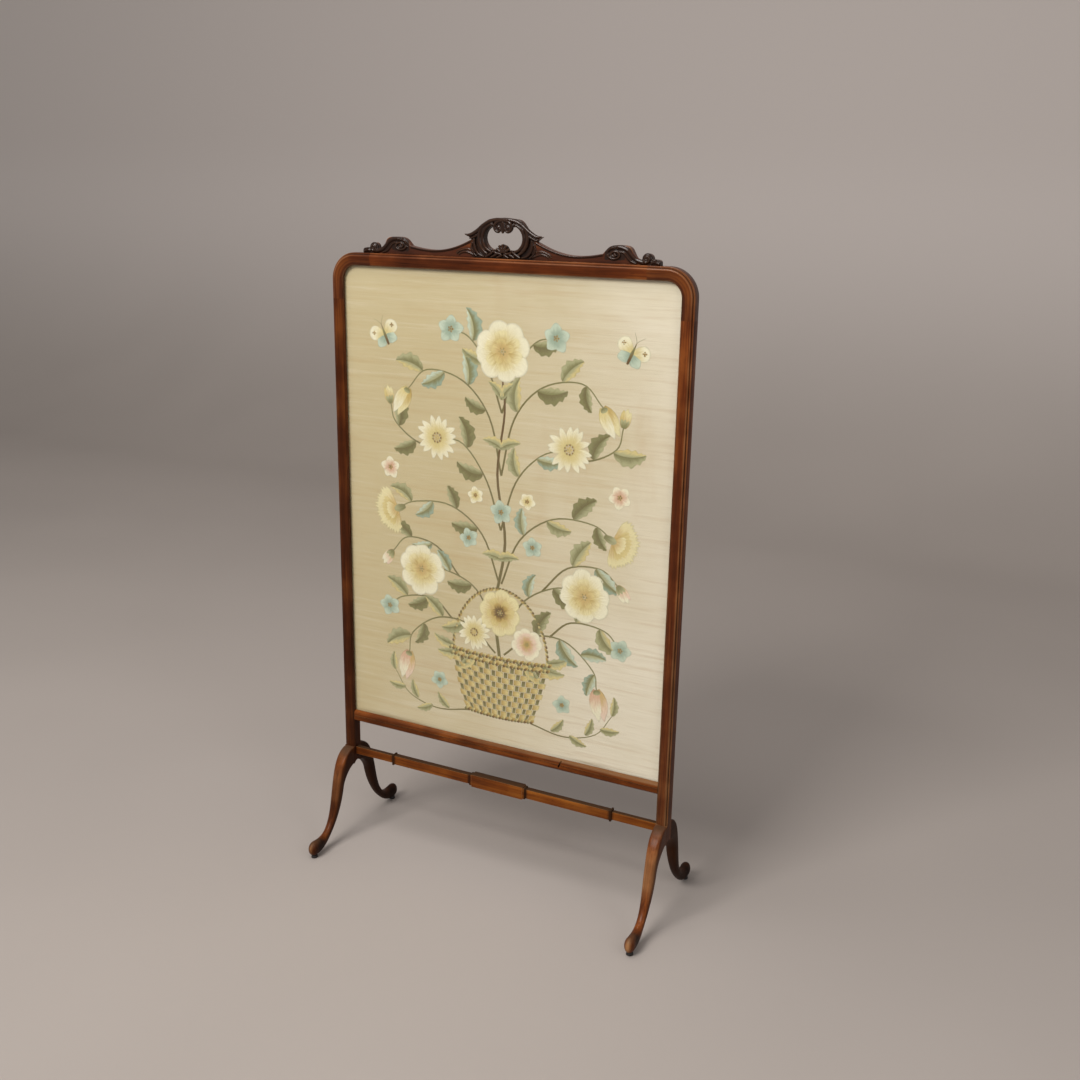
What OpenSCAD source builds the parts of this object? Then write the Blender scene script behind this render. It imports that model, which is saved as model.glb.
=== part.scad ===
/* [Frame] */
// Width over the two uprights
frame_w = 620; // [600:10:760]
// Height of the top of the frame above the floor
frame_h = 1035; // [820:5:1250]
// Width of the face of uprights and top rail
frame_t = 20; // [18:1:26]
// Depth of uprights and top rail from front to back
frame_d = 20; // [20:1:28]
// Radius of the two rounded top corners, outside
corner_r = 44; // [40:1:60]
// Straight length of a corner block beyond its curve
corner_arm = 30; // [24:1:45]
// Height of the underside of the bottom rail
rail_z = 218; // [215:1:300]
// Height of the bottom rail's face
rail_h = 20.5; // [16:0.5:30]
// Setback of the bottom rail's face behind the uprights' face
rail_setback = 2; // [1:0.5:3]

/* [Moulding] */
// Depth of wood in front of the glass
lip_d = 7.5; // [7:0.5:9]
// Depth of the step at the sight edge
lip_step_d = 3.2; // [2:0.2:4]
// Width of the step at the sight edge
lip_step_w = 1.2; // [0.6:0.2:2]
// Radius of the broad roll on the front
roll_r = 33; // [28:1:45]
// Radius of the rounded outer shoulder of the roll
shoulder_r = 2.6; // [2:0.2:2.8]
// Width of the narrow fillet outside the shoulder
fillet_w = 2.8; // [2:0.2:3.6]
// Depth of the fillet behind the front
fillet_d = 3; // [3:0.2:4]
// Radius of the bevelled top edge of the bottom rail
rail_edge_r = 10; // [8:1:14]

/* [Panel] */
// Width of the rebate behind the sight edge
rebate_w = 6; // [5:0.5:8]
// Gap between the panel's layers and the rebate's wall
panel_gap = 0.75; // [0.5:0.25:1.5]
// Thickness of the glass
glass_t = 2; // [1.6:0.2:2.4]
// Thickness of the embroidered silk
silk_t = 0.6; // [0.3:0.1:0.6]
// Width of the silk turned over behind its board
silk_turn = 18; // [12:1:19]
// Thickness of the board behind the silk
silk_board_t = 3; // [2:0.2:3.4]
// Thickness of the board that closes the back
back_board_t = 3; // [2:0.2:3.4]
// Width of the beads that hold the back board
bead_w = 8; // [6:0.5:10]
// Thickness of the beads
bead_t = 3.2; // [2.6:0.2:3.4]

/* [Legs] */
// Distance of a pad's centre from the middle of the frame's depth
leg_reach = 123; // [105:1:150]
// Height at which the legs' shoulders meet the uprights' fronts
shoulder_z = 167; // [167:1:195]
// Height of the arch between front and rear leg
arch_z = 133; // [126:1:135]
// Distance of the shin's middle line from the middle of the frame's depth
shin_out = 49; // [44:1:56]
// Height of the straightest part of the shin
shin_z = 102; // [95:1:110]
// Width of a leg at the knee, across the screen
knee_w = 21; // [20:0.5:25]
// Width of a leg at the ankle, across the screen
ankle_w = 14; // [13:0.5:18]
// Width of the toe, across the screen
toe_w = 17.5; // [16:0.5:22]
// Thickness of a leg at the shin, front to back
shin_t = 19; // [17:0.5:24]
// Thickness of a leg at the ankle
ankle_t = 13; // [12:0.5:17]
// Thickness of the toe, measured up and down
toe_t = 26.5; // [26:0.5:30]
// Height of the toe's middle above the floor
toe_z = 17.5; // [16:0.5:20]
// Radius of the pad under a toe
pad_r = 6; // [5:0.5:8]
// Thickness of the pad that shows under a toe
pad_h = 5; // [4:0.5:6]

/* [Stretcher] */
// Height of the underside of the stretcher
stretcher_z = 151; // [150:0.5:153]
// Height of the stretcher's bar at its ends
stretcher_h = 14; // [13.5:0.5:16]
// Thickness of the stretcher's bar from front to back at its ends
stretcher_d = 8; // [7.5:0.5:10]
// Height of the stretcher's bar between the rings
middle_bar_h = 16.5; // [16:0.5:18]
// Thickness of the stretcher's bar between the rings
middle_bar_d = 10.5; // [10:0.5:12]
// Distance of each ring from the middle of the stretcher
ring_x = 210; // [150:5:250]
// Width of a ring along the stretcher
ring_w = 3.2; // [2.4:0.2:5]
// Height of a ring above the middle bar's faces
ring_out = 1.4; // [1:0.2:3]
// Length of the raised tablet without its end steps
tablet_l = 98; // [60:2:140]
// Height of the tablet
tablet_h = 22.5; // [19:0.5:24]
// Thickness of the tablet from front to back
tablet_d = 15.2; // [13:0.2:18]
// Length of the step at each end of the tablet
tablet_step = 5; // [3:0.5:8]

/* [Crest] */
// Thickness of the crest's board
crest_t = 10.7; // [10:0.1:11]
// Distance of the crest's tips from its middle
crest_half = 253; // [240:1:255]
// Height of the pierced ring above the top rail
ring_h = 60; // [54:1:66]
// Width of the hand hole
hole_w = 65; // [56:1:70]
// Height of the hand hole
hole_h = 35; // [30:1:38]
// Height of the hand hole's middle above the top rail
hole_z = 30; // [28:0.5:32]
// Distance of a leaf tip from the crest's middle
leaf_x = 64; // [60:1:70]
// Height of a leaf tip above the top rail
leaf_z = 34; // [30:0.5:36]
// Distance of the lowest point of the swoop from the middle
dip_x = 122; // [110:1:130]
// Height of the swoop's lowest point above the top rail
dip_z = 9; // [8:0.5:14]
// Distance of a volute's eye from the middle
volute_x = 183; // [178:1:188]
// Height of a volute's eye above the top rail
volute_z = 15; // [13:0.5:17]
// Radius of a volute
volute_r = 9.5; // [8:0.5:11]
// Distance of a rolled end from the middle
roll_end_x = 233; // [230:1:236]
// Radius of a rolled end
roll_end_r = 8.5; // [7:0.5:10]
// Height of the shoulder over a volute above the top rail
shoulder_h = 26.5; // [26:0.5:30]
// Height of the knob on the tip beside a rolled end
knob_h = 8.5; // [7:0.5:10]
// Radius of the two scrolls that hang into the hand hole
upper_scroll_r = 6.7; // [6.4:0.1:8]
// Distance of their middles from the crest's middle
upper_scroll_x = 6; // [4:0.2:6.2]
// How far the upper scrolls hang into the hand hole
upper_scroll_in = 11.5; // [9:0.5:11.5]
// Radius of the two scrolls that rise into the hand hole
lower_scroll_r = 6; // [5.5:0.5:7]
// Distance of their middles from the crest's middle
lower_scroll_x = 3.2; // [2:0.2:5]
// How far the lower scrolls rise into the hand hole
lower_scroll_in = 10; // [8:0.5:10.5]
// Width of the carved band round the hand hole
ring_band = 11; // [9:0.5:13]
// How far the carving stands in front of the board
relief = 2.6; // [1:0.2:4]

/* [Joints] */
// Clearance round every tenon, dowel and pin, on each side
fit = 0.1; // [0.05:0.05:0.2]
// Length of a tenon into an upright
tenon_l = 12; // [8:0.5:14]
// Shoulder left around a tenon
tenon_shoulder = 3; // [2:0.25:4]
// Diameter of the dowels in the corners
corner_dowel_d = 7; // [6:0.5:8]
// Length of the dowels in the corners
corner_dowel_l = 30; // [20:1:36]
// Distance of the corner dowels behind the middle of the frame's depth
corner_dowel_back = 1.6; // [1:0.2:2]
// Diameter of the crest's dowels
crest_dowel_d = 5; // [4:0.5:6]
// Length of the crest's dowels
crest_dowel_l = 18; // [12:1:20]
// Diameter of the dowels that tie the legs
leg_dowel_d = 6; // [5:0.5:6.5]
// Length of a leg's dowel inside each leg
leg_dowel_l = 16; // [12:1:20]
// Diameter of the pins through the beads
pin_d = 1.2; // [1:0.1:1.4]
// Length of a pin beyond its bead
pin_bite = 4.5; // [3:0.5:6]
// Distance of the outermost pins from the ends of their run
pin_end = 30; // [20:2:50]
// Wood left under the lower leg dowel
leg_dowel_rest = 4; // [2.5:0.5:4.5]
// Distance of the crest's inner dowels from its middle
crest_dowel_x = 70; // [50:5:100]

/* [Hidden] */
$fn = 64;
eps = 0.01;
wood_front = "#4a2012";
wood_leg = "#6b3a1c";
wood_stretcher = "#6e3f22";

// Places that follow from the driving sizes; y is 0 in the middle of the frame's depth
front_y = -frame_d / 2;
upright_x = frame_w / 2 - frame_t / 2;
sight_x = frame_w / 2 - frame_t;
sight_top = frame_h - frame_t;
rail_top = rail_z + rail_h;
inner_r = corner_r - frame_t;
corner_x = frame_w / 2 - corner_r;
corner_z = frame_h - corner_r;
joint_x = corner_x - corner_arm;
joint_z = corner_z - corner_arm;
sight_rest = frame_t - rebate_w;
dowel_u = rebate_w + sight_rest / 2;
dowel_v = frame_d / 2 + corner_dowel_back;

// Depths of the panel's layers behind the frame's front
glass_v = lip_d;
silk_v = glass_v + glass_t;
silk_board_v = silk_v + silk_t;
back_v = silk_board_v + silk_board_t + silk_t;
bead_v = back_v + back_board_t;
layer_grow = rebate_w - panel_gap;

// A value part of the way from one to another
function mix(a, b, t) = a + (b - a) * t;

// Section of the frame: x runs outwards from the sight edge, y back from the front
module frame_section() {
    shoulder_u = frame_t - fillet_w - shoulder_r;
    fillet_start = shoulder_u - shoulder_r;
    intersection() {
        translate([lip_step_w, 0])
            square([shoulder_u - lip_step_w, frame_d]);
        translate([shoulder_u, roll_r])
            circle(r = roll_r, $fn = 120);
    }
    translate([shoulder_u, shoulder_r])
        circle(r = shoulder_r);
    translate([0, lip_step_d])
        square([shoulder_u, frame_d - lip_step_d]);
    translate([fillet_start, fillet_d])
        square([frame_t - fillet_start, frame_d - fillet_d]);
}

// Outline of the sight opening grown outwards, with its two rounded top corners
module panel_outline(grow) {
    half_w = sight_x + grow;
    low = rail_top - grow;
    high = sight_top + grow;
    r = inner_r + grow;
    translate([-half_w, low])
        square([2 * half_w, high - r - low]);
    translate([r - half_w, low])
        square([2 * (half_w - r), high - low]);
    for (side = [-1, 1])
        translate([side * (half_w - r), high - r])
            circle(r = r);
}

// A layer of that outline, v behind the frame's front and t thick
module panel_slab(grow, v, t) {
    translate([0, front_y + v + t, 0])
        rotate([90, 0, 0])
            linear_extrude(t)
                panel_outline(grow);
}

module rebate_space() {
    panel_slab(rebate_w, lip_d, frame_d);
}

// A round hole or peg along an axis, centred on a point
module peg(at, turn, d, l) {
    translate(at)
        rotate(turn)
            cylinder(d = d, h = l, center = true, $fn = 32);
}

// Dowels of the corner blocks on the right side; the left side mirrors them
module corner_dowel_pair(extra) {
    y = front_y + dowel_v;
    peg([joint_x, y, sight_top + dowel_u], [0, 90, 0],
        corner_dowel_d + 2 * extra, corner_dowel_l + 2 * extra);
    peg([sight_x + dowel_u, y, joint_z], [0, 0, 0],
        corner_dowel_d + 2 * extra, corner_dowel_l + 2 * extra);
}

crest_y = frame_d / 2 - crest_t / 2;
crest_dowel_xs = [crest_dowel_x, volute_x];

module crest_dowel_row(extra) {
    for (side = [-1, 1])
        for (x = crest_dowel_xs)
            peg([side * x, crest_y, frame_h], [0, 0, 0],
                crest_dowel_d + 2 * extra, crest_dowel_l + 2 * extra);
}

// Dowels that run from a front leg through the block into the rear leg, right side
leg_dowel_zs = [arch_z + leg_dowel_rest + leg_dowel_d / 2, stretcher_z - fit - leg_dowel_d / 2];

module leg_dowel_pair(extra) {
    for (z = leg_dowel_zs)
        peg([upright_x, 0, z], [90, 0, 0],
            leg_dowel_d + 2 * extra, frame_d + 2 * leg_dowel_l + 2 * extra);
}

// Tenon shapes, grown by extra for their mortises; right ends
module rail_tenon(extra) {
    depth = (frame_d - rail_setback) / 2;
    high = rail_h - rebate_w - 2 * tenon_shoulder;
    low_y = front_y + rail_setback + tenon_shoulder;
    translate([sight_x - eps, low_y - extra, rail_z + tenon_shoulder - extra])
        cube([tenon_l + eps + extra, depth + 2 * extra, high + 2 * extra]);
}

module stretcher_tenon(extra) {
    depth = stretcher_d - tenon_shoulder / 2;
    high = stretcher_h - tenon_shoulder;
    translate([sight_x - eps, -depth / 2 - extra, stretcher_z + tenon_shoulder / 2 - extra])
        cube([tenon_l + eps + extra, depth + 2 * extra, high + 2 * extra]);
}

// Pins through the beads: the places along each side, and the pins of the right side
pin_v = bead_v + bead_t / 2;
pin_l = bead_w + pin_bite;
pin_in = layer_grow - bead_w;
function run(low, high, count) = [for (i = [0:count - 1]) mix(low, high, i / (count - 1))];
side_pin_zs = run(rail_top + pin_end, joint_z - pin_end, 5);
top_pin_xs = run(pin_end - joint_x, joint_x - pin_end, 4);
bottom_pin_xs = run(pin_end - sight_x, sight_x - pin_end, 5);

module side_pins(extra) {
    for (z = side_pin_zs)
        translate([sight_x + pin_in, front_y + pin_v, z])
            rotate([0, 90, 0])
                cylinder(d = pin_d + 2 * extra, h = pin_l + extra, $fn = 16);
}

module top_pins(extra) {
    for (x = top_pin_xs)
        translate([x, front_y + pin_v, sight_top + pin_in])
            cylinder(d = pin_d + 2 * extra, h = pin_l + extra, $fn = 16);
}

module bottom_pins(extra) {
    for (x = bottom_pin_xs)
        translate([x, front_y + pin_v, rail_top - pin_in - pin_l - extra])
            cylinder(d = pin_d + 2 * extra, h = pin_l + extra, $fn = 16);
}

// Right upright: moulded above the legs' shoulders, a square block between the legs
module upright() {
    difference() {
        union() {
            translate([sight_x, front_y, shoulder_z])
                linear_extrude(joint_z - shoulder_z)
                    frame_section();
            translate([sight_x, front_y, arch_z])
                cube([frame_t, frame_d, shoulder_z - arch_z]);
        }
        rebate_space();
        rail_tenon(fit);
        stretcher_tenon(fit);
        corner_dowel_pair(fit);
        leg_dowel_pair(fit);
        side_pins(fit);
        bottom_pins(fit);
    }
}

module left_upright() {
    color(wood_front) mirror([1, 0, 0]) upright();
}

module right_upright() {
    color(wood_front) upright();
}

// Right corner block: the curve with its two straight arms
module corner_block() {
    difference() {
        union() {
            translate([corner_x, front_y, corner_z])
                rotate([-90, 0, 0])
                    rotate([0, 0, -90])
                        rotate_extrude(angle = 90, $fn = 128)
                            translate([inner_r, 0])
                                frame_section();
            translate([sight_x, front_y, joint_z])
                linear_extrude(corner_arm)
                    frame_section();
            translate([corner_x, front_y, sight_top])
                rotate([0, -90, 0])
                    linear_extrude(corner_arm)
                        frame_section();
        }
        rebate_space();
        corner_dowel_pair(fit);
    }
}

module left_corner() {
    color(wood_front) mirror([1, 0, 0]) corner_block();
}

module right_corner() {
    color(wood_front) corner_block();
}

module top_rail() {
    color(wood_front)
        difference() {
            translate([0, front_y, sight_top])
                rotate([0, -90, 0])
                    linear_extrude(2 * joint_x, center = true)
                        frame_section();
            rebate_space();
            corner_dowel_pair(fit);
            mirror([1, 0, 0]) corner_dowel_pair(fit);
            crest_dowel_row(fit);
            top_pins(fit);
        }
}

// Bottom rail: flat face, bevelled top edge, rebate behind, a tenon at each end
module bottom_rail() {
    body_d = frame_d - rail_setback;
    edge_v = rail_setback + rail_edge_r;
    color(wood_front)
        difference() {
            union() {
                translate([-sight_x, front_y + rail_setback, rail_z])
                    cube([2 * sight_x, body_d, rail_h - rail_edge_r]);
                translate([-sight_x, front_y + edge_v, rail_z])
                    cube([2 * sight_x, frame_d - edge_v, rail_h]);
                intersection() {
                    translate([-sight_x, front_y + rail_setback, rail_z])
                        cube([2 * sight_x, body_d, rail_h]);
                    translate([0, front_y + edge_v, rail_top - rail_edge_r])
                        rotate([0, 90, 0])
                            cylinder(r = rail_edge_r, h = 2 * sight_x, center = true);
                }
                rail_tenon(0);
                mirror([1, 0, 0]) rail_tenon(0);
            }
            rebate_space();
            bottom_pins(fit);
        }
}

// Stretcher: bar, two rings, stepped tablet and a tenon at each end
module stretcher_block(l, d, h) {
    translate([0, 0, stretcher_z + stretcher_h / 2])
        cube([l, d, h], center = true);
}

module stretcher() {
    color(wood_stretcher) {
        stretcher_block(2 * sight_x, stretcher_d, stretcher_h);
        stretcher_block(2 * ring_x, middle_bar_d, middle_bar_h);
        stretcher_block(tablet_l, tablet_d, tablet_h);
        stretcher_block(tablet_l + 2 * tablet_step, (tablet_d + middle_bar_d) / 2,
            (tablet_h + middle_bar_h) / 2);
        for (side = [-1, 1])
            translate([side * ring_x, 0, 0])
                stretcher_block(ring_w, middle_bar_d + 2 * ring_out, middle_bar_h + 2 * ring_out);
        stretcher_tenon(0);
        mirror([1, 0, 0]) stretcher_tenon(0);
    }
}

// Middle line of a leg as two cubic curves, in distance from the frame's middle and height
block_face = frame_d / 2;
leg_start = [block_face, (shoulder_z + arch_z) / 2];
leg_shin = [shin_out, shin_z];
leg_toe = [leg_reach, toe_z];
shin_lean = 12.7;
shin_way = [sin(shin_lean), -cos(shin_lean)];
knee_pull = 18;
shin_pull_up = 20;
shin_pull_down = 46;
toe_pull = [44, 5];
knee_curve = [leg_start, leg_start + [knee_pull, 0], leg_shin - shin_pull_up * shin_way, leg_shin];
foot_curve = [leg_shin, leg_shin + shin_pull_down * shin_way, leg_toe - toe_pull, leg_toe];

function bezier(p, t) = pow(1 - t, 3) * p[0] + 3 * t * pow(1 - t, 2) * p[1]
    + 3 * t * t * (1 - t) * p[2] + pow(t, 3) * p[3];
function bezier_way(p, t) = 3 * pow(1 - t, 2) * (p[1] - p[0])
    + 6 * t * (1 - t) * (p[2] - p[1]) + 3 * t * t * (p[3] - p[2]);
function unit(v) = v / norm(v);

// Thickness in the leg's own plane and width across it, along the knee and along the foot
shoulder_t = shoulder_z - arch_z;
shin_w = knee_w - 2;
knee_swell = 1 / 3;
ankle_at = 0.6;
function ease(t) = t * t * (3 - 2 * t);
function knee_t(t) = mix(shoulder_t, shin_t, ease(t));
function knee_across(t) = t < knee_swell
    ? mix(frame_t, knee_w, ease(t / knee_swell))
    : mix(knee_w, shin_w, ease((t - knee_swell) / (1 - knee_swell)));
function foot_size(shin, ankle, toe, t) = t < ankle_at
    ? mix(shin, ankle, ease(t / ankle_at))
    : mix(ankle, toe, ease((t - ankle_at) / (1 - ankle_at)));

// How far a section is rounded: a near square at the block, a near circle at the toe
block_round = 0.25;
shin_round = 0.75;
toe_round = 0.95;

// Rings of a leg: [middle, way, thickness, width, roundness]
knee_steps = 12;
foot_steps = 16;
toe_steps = 5;
toe_length = 12;
toe_turn = 84;
knee_rings = [for (i = [0:knee_steps]) let (t = i / knee_steps)
    [bezier(knee_curve, t), unit(bezier_way(knee_curve, t)),
        knee_t(t), knee_across(t), mix(block_round, shin_round, ease(t))]];
foot_rings = [for (i = [1:foot_steps]) let (t = i / foot_steps)
    [bezier(foot_curve, t), unit(bezier_way(foot_curve, t)),
        foot_size(shin_t, ankle_t, toe_t, t), foot_size(shin_w, ankle_w, toe_w, t),
        mix(shin_round, toe_round, t)]];
toe_way = unit(bezier_way(foot_curve, 1));
toe_rings = [for (i = [1:toe_steps]) let (a = toe_turn * i / toe_steps)
    [leg_toe + toe_way * toe_length * sin(a), toe_way, toe_t * cos(a), toe_w * cos(a), toe_round]];
leg_rings = concat(knee_rings, foot_rings, toe_rings);

// Points of one ring: a square section whose corners are rounded by its last value
ring_sides = 24;
function ring_point(ring, k) = let (
        a = 360 * (k + 0.5) / ring_sides,
        power = ring[4],
        x = sign(cos(a)) * pow(abs(cos(a)), power) * ring[3] / 2,
        n = sign(sin(a)) * pow(abs(sin(a)), power) * ring[2] / 2,
        d = ring[0][0] - ring[1][1] * n,
        z = ring[0][1] + ring[1][0] * n
    ) [x, -d, z];
leg_points = [for (ring = leg_rings) for (k = [0:ring_sides - 1]) ring_point(ring, k)];
leg_last = len(leg_rings) - 1;
leg_faces = concat(
    [[for (k = [0:ring_sides - 1]) k]],
    [for (i = [0:leg_last - 1]) for (k = [0:ring_sides - 1]) let (n = (k + 1) % ring_sides)
        [i * ring_sides + n, i * ring_sides + k, (i + 1) * ring_sides + k]],
    [for (i = [0:leg_last - 1]) for (k = [0:ring_sides - 1]) let (n = (k + 1) % ring_sides)
        [i * ring_sides + n, (i + 1) * ring_sides + k, (i + 1) * ring_sides + n]],
    [[for (k = [ring_sides - 1:-1:0]) leg_last * ring_sides + k]]);

module pad(extra) {
    translate([0, -leg_reach, 0])
        cylinder(r = pad_r + extra, h = pad_h);
}

// Front right leg on its own upright's middle line; the other legs mirror it
module leg_shape() {
    difference() {
        polyhedron(leg_points, leg_faces, convexity = 6);
        translate([-2 * toe_w, -2 * leg_reach, -toe_t])
            cube([4 * toe_w, 2 * leg_reach, toe_t + pad_h]);
        translate([-upright_x, 0, 0]) leg_dowel_pair(fit);
    }
}

module at_corner(side, depth) {
    mirror([side < 0 ? 1 : 0, 0, 0])
        mirror([0, depth > 0 ? 1 : 0, 0])
            translate([upright_x, 0, 0])
                children();
}

module front_left_leg() {
    color(wood_leg) at_corner(-1, -1) leg_shape();
}

module rear_left_leg() {
    color(wood_leg) at_corner(-1, 1) leg_shape();
}

module front_right_leg() {
    color(wood_leg) at_corner(1, -1) leg_shape();
}

module rear_right_leg() {
    color(wood_leg) at_corner(1, 1) leg_shape();
}

module front_left_pad() {
    color("#241a16") at_corner(-1, -1) pad(0);
}

module rear_left_pad() {
    color("#241a16") at_corner(-1, 1) pad(0);
}

module front_right_pad() {
    color("#241a16") at_corner(1, -1) pad(0);
}

module rear_right_pad() {
    color("#241a16") at_corner(1, 1) pad(0);
}

module glass_pane() {
    color("#c9d6d2", 0.35) panel_slab(layer_grow, glass_v, glass_t);
}

// Silk: front sheet, wrap round the board's edge and turn-over behind
module silk_panel() {
    color("#dccfae")
        difference() {
            panel_slab(layer_grow, silk_v, silk_t + silk_board_t + silk_t);
            panel_slab(layer_grow - silk_t, silk_board_v, silk_board_t);
            panel_slab(layer_grow - silk_turn, silk_board_v + silk_board_t, 2 * silk_t);
        }
}

module silk_board() {
    color("#a88f68") panel_slab(layer_grow - silk_t, silk_board_v, silk_board_t);
}

module back_board() {
    color("#5b3620") panel_slab(layer_grow, back_v, back_board_t);
}

// The ring of beads, cut into its straight and curved pieces
module bead_ring() {
    difference() {
        panel_slab(layer_grow, bead_v, bead_t);
        panel_slab(layer_grow - bead_w, bead_v - eps, bead_t + 2 * eps);
    }
}

bead_bottom_z = rail_top - layer_grow;
bead_side_z = bead_bottom_z + bead_w;

module side_bead() {
    difference() {
        intersection() {
            bead_ring();
            translate([0, -frame_d, bead_side_z])
                cube([frame_w, 2 * frame_d, corner_z - bead_side_z]);
        }
        side_pins(fit);
    }
}

module corner_bead() {
    intersection() {
        bead_ring();
        translate([corner_x, -frame_d, corner_z])
            cube([frame_w, 2 * frame_d, frame_h]);
    }
}

module left_bead() {
    color(wood_front) mirror([1, 0, 0]) side_bead();
}

module right_bead() {
    color(wood_front) side_bead();
}

module top_bead() {
    color(wood_front)
        difference() {
            intersection() {
                bead_ring();
                translate([-corner_x, -frame_d, corner_z])
                    cube([2 * corner_x, 2 * frame_d, frame_h]);
            }
            top_pins(fit);
        }
}

module bottom_bead() {
    color(wood_front)
        difference() {
            intersection() {
                bead_ring();
                translate([-frame_w, -frame_d, 0])
                    cube([2 * frame_w, 2 * frame_d, bead_side_z]);
            }
            bottom_pins(fit);
        }
}

module left_corner_bead() {
    color(wood_front) mirror([1, 0, 0]) corner_bead();
}

module right_corner_bead() {
    color(wood_front) corner_bead();
}

module bead_pins() {
    color("#8c8c88") {
        side_pins(0);
        mirror([1, 0, 0]) side_pins(0);
        top_pins(0);
        bottom_pins(0);
    }
}

module corner_dowels() {
    color("#b58a55") {
        corner_dowel_pair(0);
        mirror([1, 0, 0]) corner_dowel_pair(0);
    }
}

module crest_dowels() {
    color("#b58a55") crest_dowel_row(0);
}

module leg_dowels() {
    color("#b58a55") {
        leg_dowel_pair(0);
        mirror([1, 0, 0]) leg_dowel_pair(0);
    }
}

// Crest: the right half of its outline, from the tip in to the middle, height above the rail
function curve(p, steps) = [for (i = [0:steps]) bezier(p, i / steps)];

// Points that the outline passes through
tip_h = 4;
tip_knob = [crest_half - 9, knob_h];
hollow_low = [roll_end_x - roll_end_r, 6];
shoulder_foot = [volute_x + 27, shoulder_h - 8];
shoulder_top = [volute_x + 4, shoulder_h];
swoop_start = [volute_x - 19, volute_z - 1];
swoop_low = [dip_x, dip_z];
leaf_notch = [leaf_x - 9, leaf_z - 7];
leaf_tip = [leaf_x, leaf_z];
ring_shoulder = [hole_w / 2 - 10, ring_h - 2];

// Lengths of the handles that round the outline between those points
short_pull = 4;
shoulder_pull = 14;
swoop_pull = 16;
leaf_pull = 28;

crest_half_outline = concat(
    [[0, 0], [crest_half, 0]],
    curve([[crest_half, tip_h], [crest_half, tip_h + short_pull],
        tip_knob + [short_pull, 0], tip_knob], 4),
    curve([[roll_end_x, volute_z - 5], [roll_end_x - short_pull, volute_z - 5],
        hollow_low + [short_pull, 0], hollow_low], 4),
    curve([hollow_low, hollow_low - [2 * short_pull, 0],
        shoulder_foot - [-short_pull, 2 * short_pull], shoulder_foot], 8),
    curve([shoulder_foot, shoulder_foot + [-short_pull, 2 * short_pull],
        shoulder_top + [shoulder_pull, 0], shoulder_top], 8),
    curve([shoulder_top, shoulder_top - [shoulder_pull, 0],
        swoop_start + [shoulder_pull / 2, shoulder_pull / 2], swoop_start], 8),
    curve([swoop_start, swoop_start - [shoulder_pull / 2, short_pull / 2],
        swoop_low + [swoop_pull, 0], swoop_low], 8),
    curve([swoop_low, swoop_low - [leaf_pull, 0],
        leaf_notch + [swoop_pull, -swoop_pull / 2], leaf_notch], 10),
    curve([leaf_tip, leaf_tip - [leaf_pull, -short_pull],
        ring_shoulder + [swoop_pull, -short_pull / 2], ring_shoulder], 10),
    [[0, ring_h]]);

module crest_plate(front, back) {
    translate([0, back, frame_h])
        rotate([90, 0, 0])
            linear_extrude(back - front)
                children();
}

module both_sides() {
    children();
    mirror([1, 0, 0]) children();
}

// Hand hole: a slot with round ends, drawn in by a scroll above and one below
module hole_outline(grow) {
    r = hole_h / 2 + grow;
    half = hole_w / 2 + grow - r;
    translate([-half, hole_z - r])
        square([2 * half, 2 * r]);
    for (side = [-1, 1])
        translate([side * half, hole_z])
            circle(r = r);
}

// The two pairs of scrolls that draw the hole in, above and below
module hole_scrolls() {
    for (side = [-1, 1]) {
        translate([side * upper_scroll_x, hole_z + hole_h / 2 - upper_scroll_in + upper_scroll_r])
            circle(r = upper_scroll_r);
        translate([side * lower_scroll_x, hole_z - hole_h / 2 + lower_scroll_in - lower_scroll_r])
            circle(r = lower_scroll_r);
    }
}

// Carved masses that stand in front of the board, before the hand hole is pierced
module crest_relief() {
    intersection() {
        hole_outline(ring_band);
        both_sides() polygon(crest_half_outline);
    }
    both_sides() {
        translate([volute_x, volute_z])
            circle(r = volute_r);
        translate([roll_end_x, roll_end_r])
            circle(r = roll_end_r);
    }
}

module crest() {
    back = frame_d / 2;
    front = back - crest_t;
    color(wood_front)
        difference() {
            union() {
                difference() {
                    union() {
                        crest_plate(front, back)
                            both_sides() polygon(crest_half_outline);
                        crest_plate(front - relief, back)
                            crest_relief();
                    }
                    crest_plate(front - 2 * relief, back + relief)
                        hole_outline(0);
                }
                crest_plate(front - relief, back)
                    intersection() {
                        hole_scrolls();
                        hole_outline(ring_band);
                    }
            }
            crest_dowel_row(fit);
        }
}

left_upright();
right_upright();
left_corner();
right_corner();
top_rail();
bottom_rail();
crest();
stretcher();
front_left_leg();
rear_left_leg();
front_right_leg();
rear_right_leg();
front_left_pad();
rear_left_pad();
front_right_pad();
rear_right_pad();
glass_pane();
silk_panel();
silk_board();
back_board();
left_bead();
right_bead();
top_bead();
bottom_bead();
left_corner_bead();
right_corner_bead();
bead_pins();
corner_dowels();
crest_dowels();
leg_dowels();
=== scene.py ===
import math
import random

import bmesh
import bpy
import numpy as np
from bpy.props import FloatProperty, FloatVectorProperty, IntProperty, PointerProperty
from mathutils import Matrix, Vector


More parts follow.
